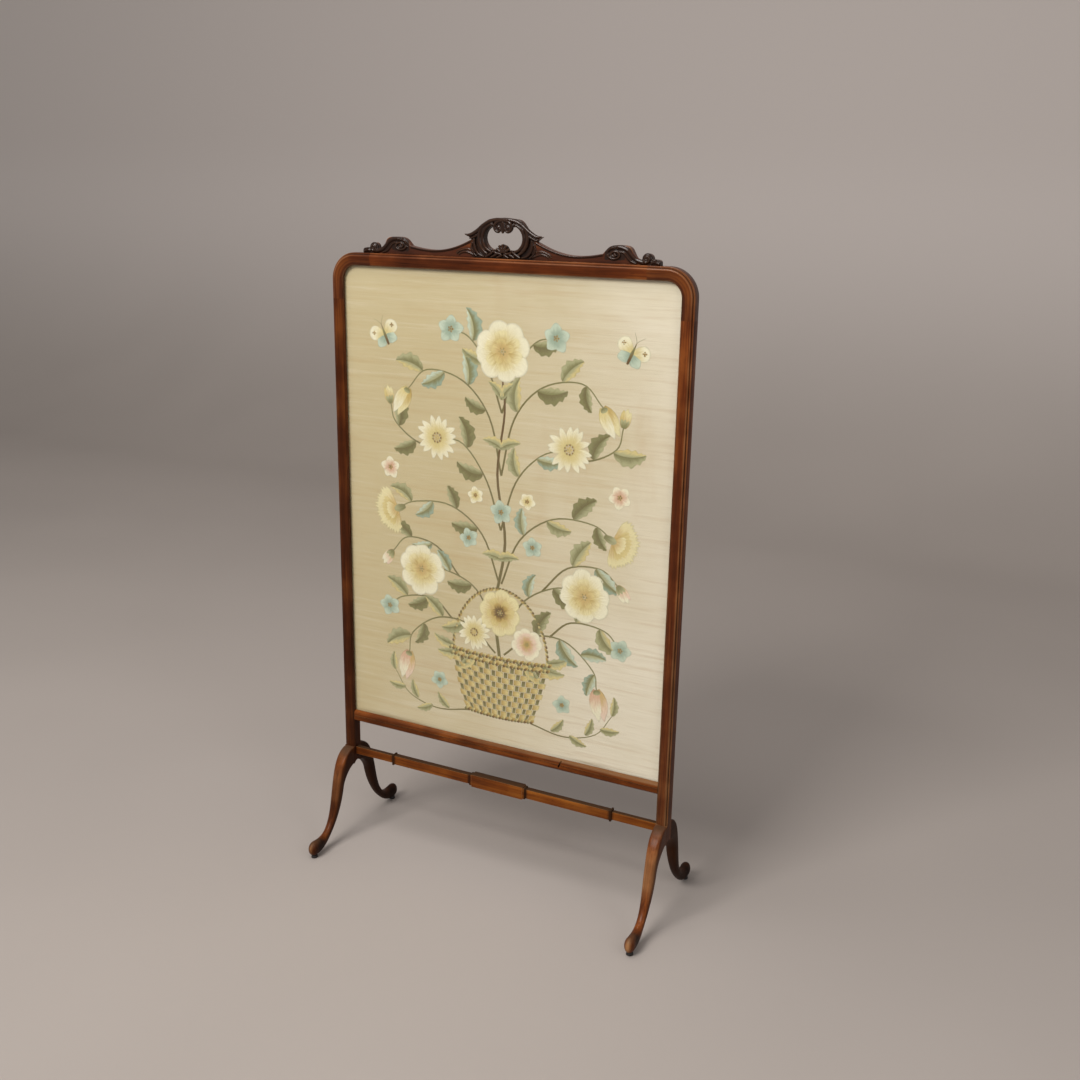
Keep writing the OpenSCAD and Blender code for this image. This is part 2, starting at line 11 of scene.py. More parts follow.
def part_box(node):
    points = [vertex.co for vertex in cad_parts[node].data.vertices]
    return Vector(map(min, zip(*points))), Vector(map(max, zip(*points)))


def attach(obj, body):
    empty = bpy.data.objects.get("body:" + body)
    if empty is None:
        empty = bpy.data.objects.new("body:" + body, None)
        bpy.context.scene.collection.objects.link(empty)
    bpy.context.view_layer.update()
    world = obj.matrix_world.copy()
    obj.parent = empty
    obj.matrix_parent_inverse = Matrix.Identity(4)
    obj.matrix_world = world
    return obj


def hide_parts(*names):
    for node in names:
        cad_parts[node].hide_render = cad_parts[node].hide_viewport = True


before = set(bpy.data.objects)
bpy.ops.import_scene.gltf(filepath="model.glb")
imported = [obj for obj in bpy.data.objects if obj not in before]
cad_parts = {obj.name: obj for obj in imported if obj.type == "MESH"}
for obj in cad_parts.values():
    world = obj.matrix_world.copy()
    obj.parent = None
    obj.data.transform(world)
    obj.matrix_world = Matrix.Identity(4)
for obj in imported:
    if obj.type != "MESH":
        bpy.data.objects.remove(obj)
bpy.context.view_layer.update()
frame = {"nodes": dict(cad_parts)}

bl_info = {
    "name": "Fire Screen",
    "version": (1, 0, 0),
    "blender": (4, 5, 0),
    "location": "View3D > Sidebar > Fire Screen",
    "description": "Models a carved fire screen with an embroidered panel",
    "category": "Add Mesh",
}

MM = 0.001
ROOT = "root"

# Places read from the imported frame
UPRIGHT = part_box("right_upright")
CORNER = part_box("right_corner")
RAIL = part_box("bottom_rail")
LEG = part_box("front_right_leg")
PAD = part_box("front_right_pad")
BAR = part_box("stretcher")
SILK_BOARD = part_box("silk_board")
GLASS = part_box("glass_pane")
HALF_W = UPRIGHT[1].x
SIGHT_X = UPRIGHT[0].x
MEMBER = HALF_W - SIGHT_X
FRONT_Y = UPRIGHT[0].y
BACK_Y = UPRIGHT[1].y
BLOCK_LOW = UPRIGHT[0].z
JOINT_Z = UPRIGHT[1].z
JOINT_X = CORNER[0].x
TOP_Z = CORNER[1].z
SIGHT_TOP = TOP_Z - MEMBER
UPRIGHT_X = (HALF_W + SIGHT_X) / 2


def linear(code):
    """A colour written as #rrggbb, as linear red, green and blue."""
    parts = [int(code[i:i + 2], 16) / 255 for i in (1, 3, 5)]
    return tuple(c / 12.92 if c <= 0.04045 else ((c + 0.055) / 1.055) ** 2.4 for c in parts)


def colour(name, description, code):
    """A colour property with that default."""
    return FloatVectorProperty(name=name, description=description, subtype="COLOR", size=3,
                               min=0, max=1, default=linear(code))


def length(name, description, millimetres):
    """A length property with that default."""
    return FloatProperty(name=name, description=description, unit="LENGTH",
                         min=0, default=millimetres * MM)


class FrameSizes(bpy.types.PropertyGroup):
    """Sizes of the moulded frame."""
    corner_radius: length("Corner radius", "Outside radius of the rounded top corners", 44)
    crown_radius: length("Crown radius", "Radius of the moulding's shallow crown", 33)
    shoulder_radius: length("Shoulder radius", "Radius of the moulding's outer shoulder", 2.6)
    lip_width: length("Lip width", "Width of the narrow lip beside the panel", 1.5)
    quirk_depth: length("Quirk depth", "Depth of the fine line between lip and crown", 0.7)
    fillet_width: length("Fillet width", "Width of the narrow fillet outside the shoulder", 2.8)
    fillet_depth: length("Fillet depth", "Depth of the fillet behind the front", 3)
    rebate_width: length("Rebate width", "Width of the rebate behind the sight edge", 6)
    lip_depth: length("Lip depth", "Thickness of the wood in front of the glass", 7.5)
    rail_edge: length("Rail edge", "Radius of the bottom rail's upper edge", 10)
    rail_foot: length("Rail foot", "Width of the bevel along the bottom rail's lower edge", 2.4)
    block_top: length("Block top", "Height at which the moulding meets the leg block", 167)


class LegSizes(bpy.types.PropertyGroup):
    """Sizes of the scrolling legs and their stretcher."""
    shin_out: length("Shin distance", "Distance of the shin from the middle of the depth", 49)
    shin_height: length("Shin height", "Height of the straightest part of the shin", 102)
    knee_width: length("Knee width", "Width of a leg at its knee", 21)
    ankle_width: length("Ankle width", "Width of a leg at its ankle", 13.6)
    toe_width: length("Toe width", "Width of the toe", 17.2)
    shin_thickness: length("Shin thickness", "Thickness of the shin, front to back", 19)
    ankle_thickness: length("Ankle thickness", "Thickness of the ankle", 12.6)
    toe_thickness: length("Toe thickness", "Thickness of the toe", 25.6)
    toe_height: length("Toe height", "Height of the toe's middle", 17.5)
    bar_height: length("Bar height", "Height of the stretcher's bar at its ends", 14)
    bar_depth: length("Bar depth", "Thickness of the stretcher's bar at its ends", 8)
    middle_height: length("Middle height", "Height of the bar between the rings", 16.5)
    middle_depth: length("Middle depth", "Thickness of the bar between the rings", 10.5)
    ring_place: length("Ring place", "Distance of a ring from the middle", 210)
    ring_width: length("Ring width", "Width of a ring along the bar", 3.2)
    ring_out: length("Ring height", "How far a ring stands out of the bar", 1.4)
    tablet_length: length("Tablet length", "Length of the raised tablet", 98)
    tablet_step: length("Tablet step", "Length of the step at a tablet's end", 5)
    arch: length("Arch", "Radius of the arch cut under a block", 12)


class CrestSizes(bpy.types.PropertyGroup):
    """Sizes of the carved crest."""
    hole_width: length("Hole width", "Width of the hand hole", 65)
    hole_height: length("Hole height", "Height of the hand hole", 35)
    hole_middle: length("Hole middle", "Height of the hand hole's middle above the rail", 30)
    voxel: length("Carving fineness", "Size of the smallest cut that is kept", 0.62)


class PanelSizes(bpy.types.PropertyGroup):
    """Sizes of the silk and its needlework."""
    turn_over: length("Turn-over", "Width of the silk turned over behind its board", 18)
    cloth: length("Cloth thickness", "Thickness of the silk", 0.08)
    board_corner: length("Board corner", "Radius of the board's top corners", 28.65)
    stitch_height: length("Stitch height", "Height of the padded stitching", 0.14)
    first_level: length("First level", "Height of the lowest stitches over the board's front", 0.02)
    level_step: length("Level step", "Height between crossing rows of stitches", 0.04)
    last_level: length("Root level", "Depth in the silk at which stitches start", 0.05)
    seed: IntProperty(name="Seed", description="Start of the hand's small variations", default=11)


class Colours(bpy.types.PropertyGroup):
    """Colours of the finishes."""
    frame_dark: colour("Frame, dark", "Dark figure of the frame's mahogany", "#1e0b05")
    frame_mid: colour("Frame, middle", "Body colour of the frame's mahogany", "#471f0b")
    frame_light: colour("Frame, light", "Light figure of the frame's mahogany", "#7b431c")
    leg_dark: colour("Legs, dark", "Dark figure of the legs' mahogany", "#2a1107")
    leg_mid: colour("Legs, middle", "Body colour of the legs' mahogany", "#582a0e")
    leg_light: colour("Legs, light", "Light figure of the legs' mahogany", "#87491b")
    knee_film: colour("Knee film", "Grey film on the legs' knees", "#4a3424")
    rail_dust: colour("Rail dust", "Dust on the low rail's slope", "#704d2f")
    bar_grime: colour("Bar grime", "Grime on the stretcher's top", "#332416")
    bar_dark: colour("Stretcher, dark", "Dark figure of the stretcher's wood", "#331509")
    bar_mid: colour("Stretcher, middle", "Body colour of the stretcher's wood", "#66330f")
    bar_light: colour("Stretcher, light", "Light figure of the stretcher's wood", "#975a20")
    # Rubbed wood; on the moulding's shoulders, the shins and the carved ridges it also serves as a painted highlight.
    worn_and_highlight: colour("Worn wood", "Wood rubbed bare of its polish", "#a0744c")
    # Old polish and dust in hollows; the same colour also paints shade on the legs' flanks, the crest's sunken ground
    # and beside the stretcher's rings.
    hollow: colour("Hollows", "Old polish and dust in the hollows", "#120a07")
    pad: colour("Pads", "Dark wood of the pads", "#1c1410")
    board: colour("Board", "Bare board behind the silk", "#a88f68")
    back: colour("Back board", "Stained back board", "#6b472c")
    silk: colour("Silk", "Ground of the silk", "#c9b992")
    # Faded silk; towards the right it also stands for painted light.
    silk_pale_and_lit: colour("Silk, faded", "Faded side of the silk", "#e9dfcc")
    silk_dark: colour("Silk, dark", "Shaded weft of the silk", "#ae9769")
    silk_stain: colour("Silk, stained", "Old stains on the silk", "#b89568")
    # Soiled edges; under the top rail it also paints the rail's shadow.
    silk_soil_and_shade: colour("Silk, soiled", "Soiled edges of the silk", "#8a6a42")
    steel: colour("Pins", "Dull steel of the pins", "#77736c")
    floor: colour("Floor", "Floor", "#a0968f")
    wall: colour("Wall", "Wall behind the screen", "#c3b9b3")


class Threads(bpy.types.PropertyGroup):
    """Colours of the silk threads."""
    ivory: colour("Ivory", "Palest petals", "#f0e8cb")
    cream: colour("Cream", "Pale petals", "#e9dcab")
    straw: colour("Straw", "Petals and leaf edges", "#dcc98c")
    gold: colour("Gold", "Deep petals and the basket", "#c4a661")
    honey: colour("Honey", "Warm petals", "#cdae72")
    rose: colour("Rose", "Pink roots of petals", "#d8ae90")
    blush: colour("Blush", "Pale pink petals", "#ebd0ba")
    sage: colour("Sage", "Light leaves", "#b4b086")
    moss: colour("Moss", "Dark leaves", "#8c875a")
    olive: colour("Olive", "Stems", "#7b7148")
    bark: colour("Bark", "Darkest stems", "#6f5433")
    sea: colour("Sea", "Blue-green petals", "#a0b09b")
    ice: colour("Ice", "Palest blue-green", "#c8d2bd")
    shadow: colour("Stitch shadow", "Where stitches enter the silk", "#77683f")


class StageSettings(bpy.types.PropertyGroup):
    """Strength of the lamps."""
    key: FloatProperty(name="Key lamp", description="Power of the large soft lamp", unit="POWER",
                       min=0, default=141)
    top: FloatProperty(name="Top lamp", description="Power of the lamp overhead", unit="POWER",
                       min=0, default=24)
    side: FloatProperty(name="Side lamp", description="Power of the lamp on the right",
                        unit="POWER", min=0, default=14)
    world: FloatProperty(name="Fill light", description="Strength of the even light all round",
                         min=0, default=0.42)


class ScreenSettings(bpy.types.PropertyGroup):
    """Everything that a user would change."""
    frame: PointerProperty(type=FrameSizes)
    legs: PointerProperty(type=LegSizes)
    crest: PointerProperty(type=CrestSizes)
    panel: PointerProperty(type=PanelSizes)
    colours: PointerProperty(type=Colours)
    threads: PointerProperty(type=Threads)
    stage: PointerProperty(type=StageSettings)


def settings():
    return bpy.context.scene.fire_screen


# Finishes

class Value:
    """A node's output. Sums written with it add Math nodes."""

    def __init__(self, finish, output):
        self.finish = finish
        self.output = output

    def math(self, operation, *values):
        return self.finish.node("ShaderNodeMath", {"operation": operation}, dict(enumerate(values)))

    def __add__(self, other):
        return self.math("ADD", self, other)

    def __radd__(self, other):
        return self.math("ADD", other, self)

    def __sub__(self, other):
        return self.math("SUBTRACT", self, other)

    def __rsub__(self, other):
        return self.math("SUBTRACT", other, self)

    def __mul__(self, other):
        return self.math("MULTIPLY", self, other)

    def __rmul__(self, other):
        return self.math("MULTIPLY", other, self)

    def __truediv__(self, other):
        return self.math("DIVIDE", self, other)

    def __pow__(self, other):
        return self.math("POWER", self, other)

    def sine(self):
        return self.math("SINE", self)

    def step(self, low, high):
        """0 below low and 1 above high, with an eased rise between."""
        return self.finish.node("ShaderNodeMapRange", {"interpolation_type": "SMOOTHSTEP"},
                                {"Value": self, "From Min": low, "From Max": high})


class Finish:
    """A material and its nodes."""

    def __init__(self, name):
        self.material = bpy.data.materials.new(name)
        self.material.use_nodes = True
        self.tree = self.material.node_tree
        self.tree.nodes.clear()

    def node(self, kind, choices=None, values=None, output=0):
        """Adds a node: its choices first, then its sockets' values or links."""
        made = self.tree.nodes.new(kind)
        for key, value in (choices or {}).items():
            if key == "stops":
                self.set_stops(made.color_ramp, value)
            else:
                setattr(made, key, value)
        for key, value in (values or {}).items():
            if isinstance(value, Value):
                self.tree.links.new(value.output, made.inputs[key])
            else:
                made.inputs[key].default_value = value
        return Value(self, made.outputs[output])

    @staticmethod
    def set_stops(ramp, stops):
        while len(ramp.elements) < len(stops):
            ramp.elements.new(1)
        for element, (place, rgb) in zip(ramp.elements, stops):
            element.position = place
            element.color = (*rgb[:3], 1)

    def noise(self, coords, scale, detail=3, roughness=0.55):
        """Noise with its own scale along each axis of the coordinates."""
        stretched = self.scaled(coords, scale)
        return self.node("ShaderNodeTexNoise", None,
                         {"Vector": stretched, "Scale": 1, "Detail": detail, "Roughness": roughness})

    def scaled(self, coords, scale):
        return self.node("ShaderNodeVectorMath", {"operation": "MULTIPLY"}, {0: coords, 1: scale})

    def object_coords(self):
        return self.node("ShaderNodeTexCoord", None, None, "Object")

    def attribute(self, name, output="Fac"):
        return self.node("ShaderNodeAttribute", {"attribute_name": name}, None, output)

    def parts(self, vector):
        """The three numbers of a vector."""
        split = self.node("ShaderNodeSeparateXYZ", None, {0: vector})
        return [Value(self, out) for out in split.output.node.outputs]

    def vector(self, x, y, z):
        return self.node("ShaderNodeCombineXYZ", None, {0: x, 1: y, 2: z})

    def ramp(self, value, stops):
        return self.node("ShaderNodeValToRGB", {"stops": stops}, {0: value})

    def mix(self, share, a, b, way="MIX"):
        a, b = ((*c[:3], 1) if isinstance(c, (tuple, list)) or hasattr(c, "hsv") else c
                for c in (a, b))
        return self.node("ShaderNodeMix", {"data_type": "RGBA", "blend_type": way},
                         {0: share, 6: a, 7: b}, 2)

    def bump(self, height, distance, strength=1.0):
        return self.node("ShaderNodeBump", None,
                         {"Height": height, "Distance": distance, "Strength": strength})

    def surface(self, values):
        """Ends the material in the main shader with those sockets."""
        shader = self.node("ShaderNodeBsdfPrincipled", None, values)
        return self.end(shader)

    def end(self, shader):
        self.node_output = self.tree.nodes.new("ShaderNodeOutputMaterial")
        self.tree.links.new(shader.output, self.node_output.inputs["Surface"])
        return self.material


def along_axis(finish, axis):
    """Object coordinates turned so that the third runs along the grain."""
    x, y, z = finish.parts(finish.object_coords())
    order = {"x": (y, z, x), "y": (z, x, y), "z": (x, y, z)}[axis]
    return finish.vector(*order)


def wood(name, tones, grain="attribute", wear=0.0, hollow=0.0, rough=0.36, coat=0.1, seed=0.0,
         polish=0.16, mottle=0.0, film=None):
    """Polished wood. The grain comes from the piece's own attribute or an object axis."""
    c = settings().colours
    f = Finish(name)
    own = grain == "attribute"
    coords = f.attribute("grain", "Vector") if own else along_axis(f, grain)
    moved = f.node("ShaderNodeVectorMath", {"operation": "ADD"}, {0: coords, 1: (seed, seed, seed)})
    figure = f.noise(moved, (75, 75, 3.2), 4, 0.6)
    fibre = f.noise(moved, (520, 520, 11), 4, 0.65)
    pores = f.noise(moved, (2300, 2300, 120), 2, 0.5).step(0.60, 0.72)
    patina = f.noise(f.object_coords(), (16, 16, 16), 3, 0.5)
    shade = figure * 0.62 + fibre * 0.34 + patina * 0.44 - 0.20
    dark, mid, light = tones
    colour_out = f.ramp(shade, [(0.28, dark), (0.50, mid), (0.74, light)])
    colour_out = f.mix(pores * 0.45, colour_out, tuple(dark))
    if mottle:
        smoke = f.noise(moved, (26, 26, 9), 4, 0.65).step(0.44, 0.70)
        scuffs = f.noise(moved, (230, 230, 60), 4, 0.7).step(0.55, 0.70)
        colour_out = f.mix(smoke * mottle, colour_out, tuple(dark))
        colour_out = f.mix(scuffs * mottle, colour_out, tuple(dark))
    rough_out = rough + fibre * 0.16 - patina * 0.08
    if own:
        # Rubbed wear; on some pieces it also paints a highlight.
        rubbed = (f.attribute("wear") * (fibre * 0.7 + patina * 1.1 - 0.2) * wear).step(0.10, 0.62)
        # Dark hollows: old polish and dust, and painted shade where it was added to the hollow attribute.
        deep = (f.attribute("hollow") * hollow * (patina * 0.5 + 0.75)).step(0.02, 0.75)
        colour_out = f.mix(rubbed * 0.78, colour_out, tuple(c.worn_and_highlight))
        colour_out = f.mix(deep * 0.93, colour_out, tuple(c.hollow))
        rough_out = rough_out + rubbed * 0.12 + deep * 0.22
        if film:
            dull = (f.attribute("film") * (fibre * 0.8 + patina * 1.0 + 0.1)).step(0.10, 0.85)
            colour_out = f.mix(dull * 0.9, colour_out, tuple(film))
            rough_out = rough_out + dull * 0.2
    bumps = fibre * 0.5 - pores
    return f.surface({
        "Base Color": colour_out,
        "Roughness": rough_out,
        "Specular IOR Level": 0.16,
        "Specular Tint": (1.0, 0.52, 0.32, 1),
        "Coat Weight": coat,
        "Coat Roughness": polish,
        "Normal": f.bump(bumps, 0.00012, 0.5),
    })


# Modelling helpers

def start_clean():
    """Leaves edit mode with nothing selected."""
    if bpy.context.mode != "OBJECT":
        bpy.ops.object.mode_set(mode="OBJECT")
    bpy.ops.object.select_all(action="DESELECT")


def pick(obj):
    """Selects that object alone."""
    start_clean()
    obj.select_set(True)
    bpy.context.view_layer.objects.active = obj
    return obj


def edit(obj):
    pick(obj)
    bpy.ops.object.mode_set(mode="EDIT")
    bpy.ops.mesh.select_all(action="DESELECT")
    bpy.ops.mesh.select_mode(type="FACE")


def choose_faces(test):
    """In edit mode, selects the faces whose middle and normal pass the test."""
    mesh = bpy.context.object.data
    bm = bmesh.from_edit_mesh(mesh)
    bpy.ops.mesh.select_all(action="DESELECT")
    for face in bm.faces:
        if test(face.calc_center_median(), face.normal):
            face.select_set(True)
    bmesh.update_edit_mesh(mesh)


def choose_edges(test):
    """In edit mode, selects the edges whose two ends pass the test."""
    bpy.ops.mesh.select_mode(type="EDGE")
    mesh = bpy.context.object.data
    bm = bmesh.from_edit_mesh(mesh)
    bpy.ops.mesh.select_all(action="DESELECT")
    for side in bm.edges:
        if test(side.verts[0].co, side.verts[1].co):
            side.select_set(True)
    bmesh.update_edit_mesh(mesh)


def apply_modifier(obj, kind, **values):
    """Adds a modifier, sets it and applies it."""
    pick(obj)
    modifier = obj.modifiers.new(kind, kind)
    for key, value in values.items():
        setattr(modifier, key, value)
    bpy.ops.object.modifier_apply(modifier=modifier.name)


def cut_or_join(obj, other, operation):
    """Cuts another solid out of the object or joins it on, and removes the other."""
    apply_modifier(obj, "BOOLEAN", object=other, operation=operation, solver="EXACT")
    bpy.data.objects.remove(other)


def close_up(obj):
    """Merges doubles and turns the faces outwards."""
    edit(obj)
    bpy.ops.mesh.select_all(action="SELECT")
    bpy.ops.mesh.remove_doubles(threshold=0.00001)
    bpy.ops.mesh.normals_make_consistent(inside=False)
    start_clean()


def settle(obj, name):
    """Puts the object's place into its mesh and names both."""
    pick(obj)
    bpy.ops.object.transform_apply(location=True, rotation=True, scale=True)
    obj.name = name
    obj.data.name = name
    return obj


def add_box(low, high):
    """A cube primitive between two corners."""
    start_clean()
    middle = [(a + b) / 2 for a, b in zip(low, high)]
    bpy.ops.mesh.primitive_cube_add(size=1, location=middle)
    obj = bpy.context.object
    obj.scale = [b - a for a, b in zip(low, high)]
    return settle(obj, "box")


def add_outline(points, name):
    """A filled circle primitive whose corners are set on an outline."""
    start_clean()
    bpy.ops.mesh.primitive_circle_add(vertices=len(points), radius=1, fill_type="NGON")
    obj = settle(bpy.context.object, name)
    for vertex, place in zip(obj.data.vertices, points):
        vertex.co = place
    return obj


def extrude(way):
    bpy.ops.mesh.extrude_region_move(TRANSFORM_OT_translate={"value": way})


def round_edges(obj, width, segments=3, angle=math.radians(40)):
    apply_modifier(obj, "BEVEL", width=width, segments=segments, limit_method="ANGLE",
                   angle_limit=angle, harden_normals=False)


def smooth(obj, angle=math.radians(35)):
    pick(obj)
    bpy.ops.object.shade_smooth_by_angle(angle=angle)


def copied(obj, name):
    """A copy with its own mesh."""
    twin = obj.copy()
    twin.data = obj.data.copy()
    twin.name = twin.data.name = name
    bpy.context.scene.collection.objects.link(twin)
    return twin


def mirrored(obj, name, across):
    """A copy mirrored through the plane x = 0 or y = 0, with its faces turned outwards again."""
    twin = copied(obj, name)
    twin.data.transform(Matrix.Diagonal((-1, 1, 1, 1) if across == "x" else (1, -1, 1, 1)))
    twin.data.flip_normals()
    return twin


def points_of(mesh):
    places = np.empty(len(mesh.vertices) * 3)
    mesh.vertices.foreach_get("co", places)
    return places.reshape(-1, 3)


def store(mesh, name, values, kind="FLOAT"):
    """Writes a value, vector or colour for each point."""
    attribute = mesh.attributes.new(name, kind, "POINT")
    key = {"FLOAT": "value", "FLOAT_VECTOR": "vector", "FLOAT_COLOR": "color"}[kind]
    attribute.data.foreach_set(key, np.asarray(values, dtype=np.float32).ravel())


def bend_at_points(mesh):
    """Mean bend at each point, in 1/m: above 0 on ridges, below 0 in hollows."""
    count, faces = len(mesh.vertices), len(mesh.polygons)
    middle, normal, area = np.empty(faces * 3), np.empty(faces * 3), np.empty(faces)
    mesh.polygons.foreach_get("center", middle)
    mesh.polygons.foreach_get("normal", normal)
    mesh.polygons.foreach_get("area", area)
    middle, normal = middle.reshape(-1, 3), normal.reshape(-1, 3)
    loops = len(mesh.loops)
    loop_edge, loop_vertex = np.empty(loops, int), np.empty(loops, int)
    mesh.loops.foreach_get("edge_index", loop_edge)
    mesh.loops.foreach_get("vertex_index", loop_vertex)
    sides = np.empty(faces, int)
    mesh.polygons.foreach_get("loop_total", sides)
    loop_face = np.repeat(np.arange(faces), sides)
    order = np.argsort(loop_edge, kind="stable")
    paired = loop_edge[order][:-1] == loop_edge[order][1:]
    first, second = order[:-1][paired], order[1:][paired]
    one, two, edge = loop_face[first], loop_face[second], loop_edge[first]
    ends = np.empty(len(mesh.edges) * 2, int)
    mesh.edges.foreach_get("vertices", ends)
    ends = ends.reshape(-1, 2)[edge]
    places = points_of(mesh)
    long = np.linalg.norm(places[ends[:, 0]] - places[ends[:, 1]], axis=1)
    turn = np.arccos(np.clip((normal[one] * normal[two]).sum(1), -1, 1))
    sign = -np.sign((normal[one] * (middle[two] - middle[one])).sum(1))
    share = np.zeros(count)
    np.add.at(share, loop_vertex, area[loop_face] / sides[loop_face])
    bend = np.zeros(count)
    for end in (0, 1):
        np.add.at(bend, ends[:, end], sign * turn * long / 4)
    return bend / np.maximum(share, 1e-12), ends


def spread(values, ends, times):
    """Evens values out over neighbouring points."""
    count = np.bincount(ends.ravel(), minlength=len(values)) + 1
    for _ in range(times):
        total = values.copy()
        np.add.at(total, ends[:, 0], values[ends[:, 1]])
        np.add.at(total, ends[:, 1], values[ends[:, 0]])
        values = total / count
    return values


def mark_age(obj, ridge=0.0008, spreads=0, extra_wear_and_highlight=None):
    """Stores where a piece is rubbed, with any added wear and painted highlight, and where dirt lies."""
    bend, ends = bend_at_points(obj.data)
    bend = spread(bend, ends, spreads)
    wear = np.clip(bend * ridge, 0, 1)
    if extra_wear_and_highlight is not None:
        wear = np.clip(wear + extra_wear_and_highlight(points_of(obj.data)), 0, 1)
    store(obj.data, "wear", wear)
    store(obj.data, "hollow", np.clip(-bend * ridge, 0, 1))


def point_normals(mesh):
    normals = np.empty(len(mesh.vertices) * 3)
    mesh.vertices.foreach_get("normal", normals)
    return normals.reshape(-1, 3)


def add_dirt_and_shade(obj, extra):
    """Adds to the darkness stored with the piece's hollows, point by point: dirt on some pieces, painted shade on
    others.
    """
    values = np.empty(len(obj.data.vertices))
    hollow = obj.data.attributes["hollow"].data
    hollow.foreach_get("value", values)
    hollow.foreach_set("value", np.clip(values + extra, 0, 1).astype(np.float32))


def mark_film(obj, place_to_film):
    """Stores where dust or a dull film lies, by each point's place and normal."""
    store(obj.data, "film", place_to_film(points_of(obj.data), point_normals(obj.data)))


def set_grain(obj, place_to_grain):
    """Stores the grain's coordinates; the third runs along the grain."""
    store(obj.data, "grain", place_to_grain(points_of(obj.data)), "FLOAT_VECTOR")


def hand_over(obj, material, slot, *nodes):
    """Gives a piece its finish and body and hides the node that it stands for. The slot is not used."""
    obj.data.materials.clear()
    obj.data.materials.append(material)
    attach(obj, ROOT)
    if nodes:
        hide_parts(*nodes)


def finish_node(name, material):
    """Gives a carried-over node its finish."""
    mesh = frame["nodes"][name].data
    mesh.materials.clear()
    mesh.materials.append(material)


def tones(kind, strength=1.0):
    """The dark, middle and light tone of a wood, made lighter or darker by a strength."""
    c = settings().colours
    return [tuple(strength * Vector(getattr(c, f"{kind}_{shade}"))) for shade in ("dark", "mid", "light")]


# Frame

def arc(middle, radius, start, stop, steps):
    """Points along an arc, with angles in degrees."""
    return [(middle[0] + radius * math.cos(math.radians(a)), middle[1] + radius * math.sin(math.radians(a)))
            for a in np.linspace(start, stop, steps)]


def frame_section(rebated):
    """Corners of the moulding's section: distance out from the sight edge, and back."""
    s = settings().frame
    fillet = MEMBER - s.fillet_width
    crown = (fillet - s.shoulder_radius, s.crown_radius)
    step_angle = 270 - math.degrees(math.asin((crown[0] - s.lip_width) / s.crown_radius))
    step_back = crown[1] + s.crown_radius * math.sin(math.radians(step_angle))
    ease = 0.6 * MM
    depth = BACK_Y - FRONT_Y
    lip = [(0, s.lip_depth), (0, step_back + ease), (ease, step_back + 0.2 * MM),
           (s.lip_width * 0.6, step_back + 0.2 * MM), (s.lip_width * 0.8, step_back + s.quirk_depth),
           (s.lip_width, step_back + s.quirk_depth)]
    face = arc(crown, s.crown_radius, step_angle, 270, 14)
    shoulder = arc((crown[0], s.shoulder_radius), s.shoulder_radius, 285, 360, 7)
    quirk = [(fillet, s.fillet_depth + ease), (fillet + ease, s.fillet_depth + ease),
             (fillet + 1.2 * ease, s.fillet_depth)]
    edge = arc((MEMBER - ease, s.fillet_depth + ease), ease, 270, 360, 4)
    back_out = arc((MEMBER - ease, depth - ease), ease, 0, 90, 4)
    inner = s.rebate_width if rebated else 0
    back_in = arc((inner + ease, depth - ease), ease, 90, 180, 4)
    rebate = [(inner, s.lip_depth)] if rebated else []
    return lip + face + shoulder + quirk + edge + back_out + back_in + rebate


def shoulder_wear_and_highlight(out, back):
    """Wear and a painted highlight along the moulding's outer shoulder, by the distance from the sight edge."""
    near = np.clip(1 - np.abs(out - MEMBER + 4.2 * MM) / (2.6 * MM), 0, 1)
    return 0.32 * near * (back < FRONT_Y + 2.8 * MM)


def make_upright():
    """Right upright: a moulded stile on a square block, rebated beside the panel."""
    s = settings().frame
    section = frame_section(False)
    start = s.block_top - MM
    stile = add_outline([(SIGHT_X + u, FRONT_Y + v, start) for u, v in section], "stile")
    edit(stile)
    bpy.ops.mesh.select_all(action="SELECT")
    extrude((0, 0, JOINT_Z - start))
    close_up(stile)
    block = add_box((SIGHT_X, FRONT_Y, BLOCK_LOW), (HALF_W, BACK_Y, s.block_top))
    round_edges(block, 0.5 * MM, 2)
    cut_or_join(stile, block, "UNION")
    start_clean()
    arch = settings().legs.arch
    bpy.ops.mesh.primitive_cylinder_add(vertices=48, radius=arch, depth=2 * MEMBER,
                                        location=(UPRIGHT_X, 0, BLOCK_LOW - arch / 2),
                                        rotation=(0, math.pi / 2, 0))
    cut_or_join(stile, settle(bpy.context.object, "arch"), "DIFFERENCE")
    rebate = add_box((SIGHT_X - MEMBER, FRONT_Y + s.lip_depth, RAIL[0].z + MEMBER * 0.725),
                     (SIGHT_X + s.rebate_width, BACK_Y + MM, JOINT_Z + MM))
    cut_or_join(stile, rebate, "DIFFERENCE")
    close_up(stile)
    smooth(stile)
    return stile


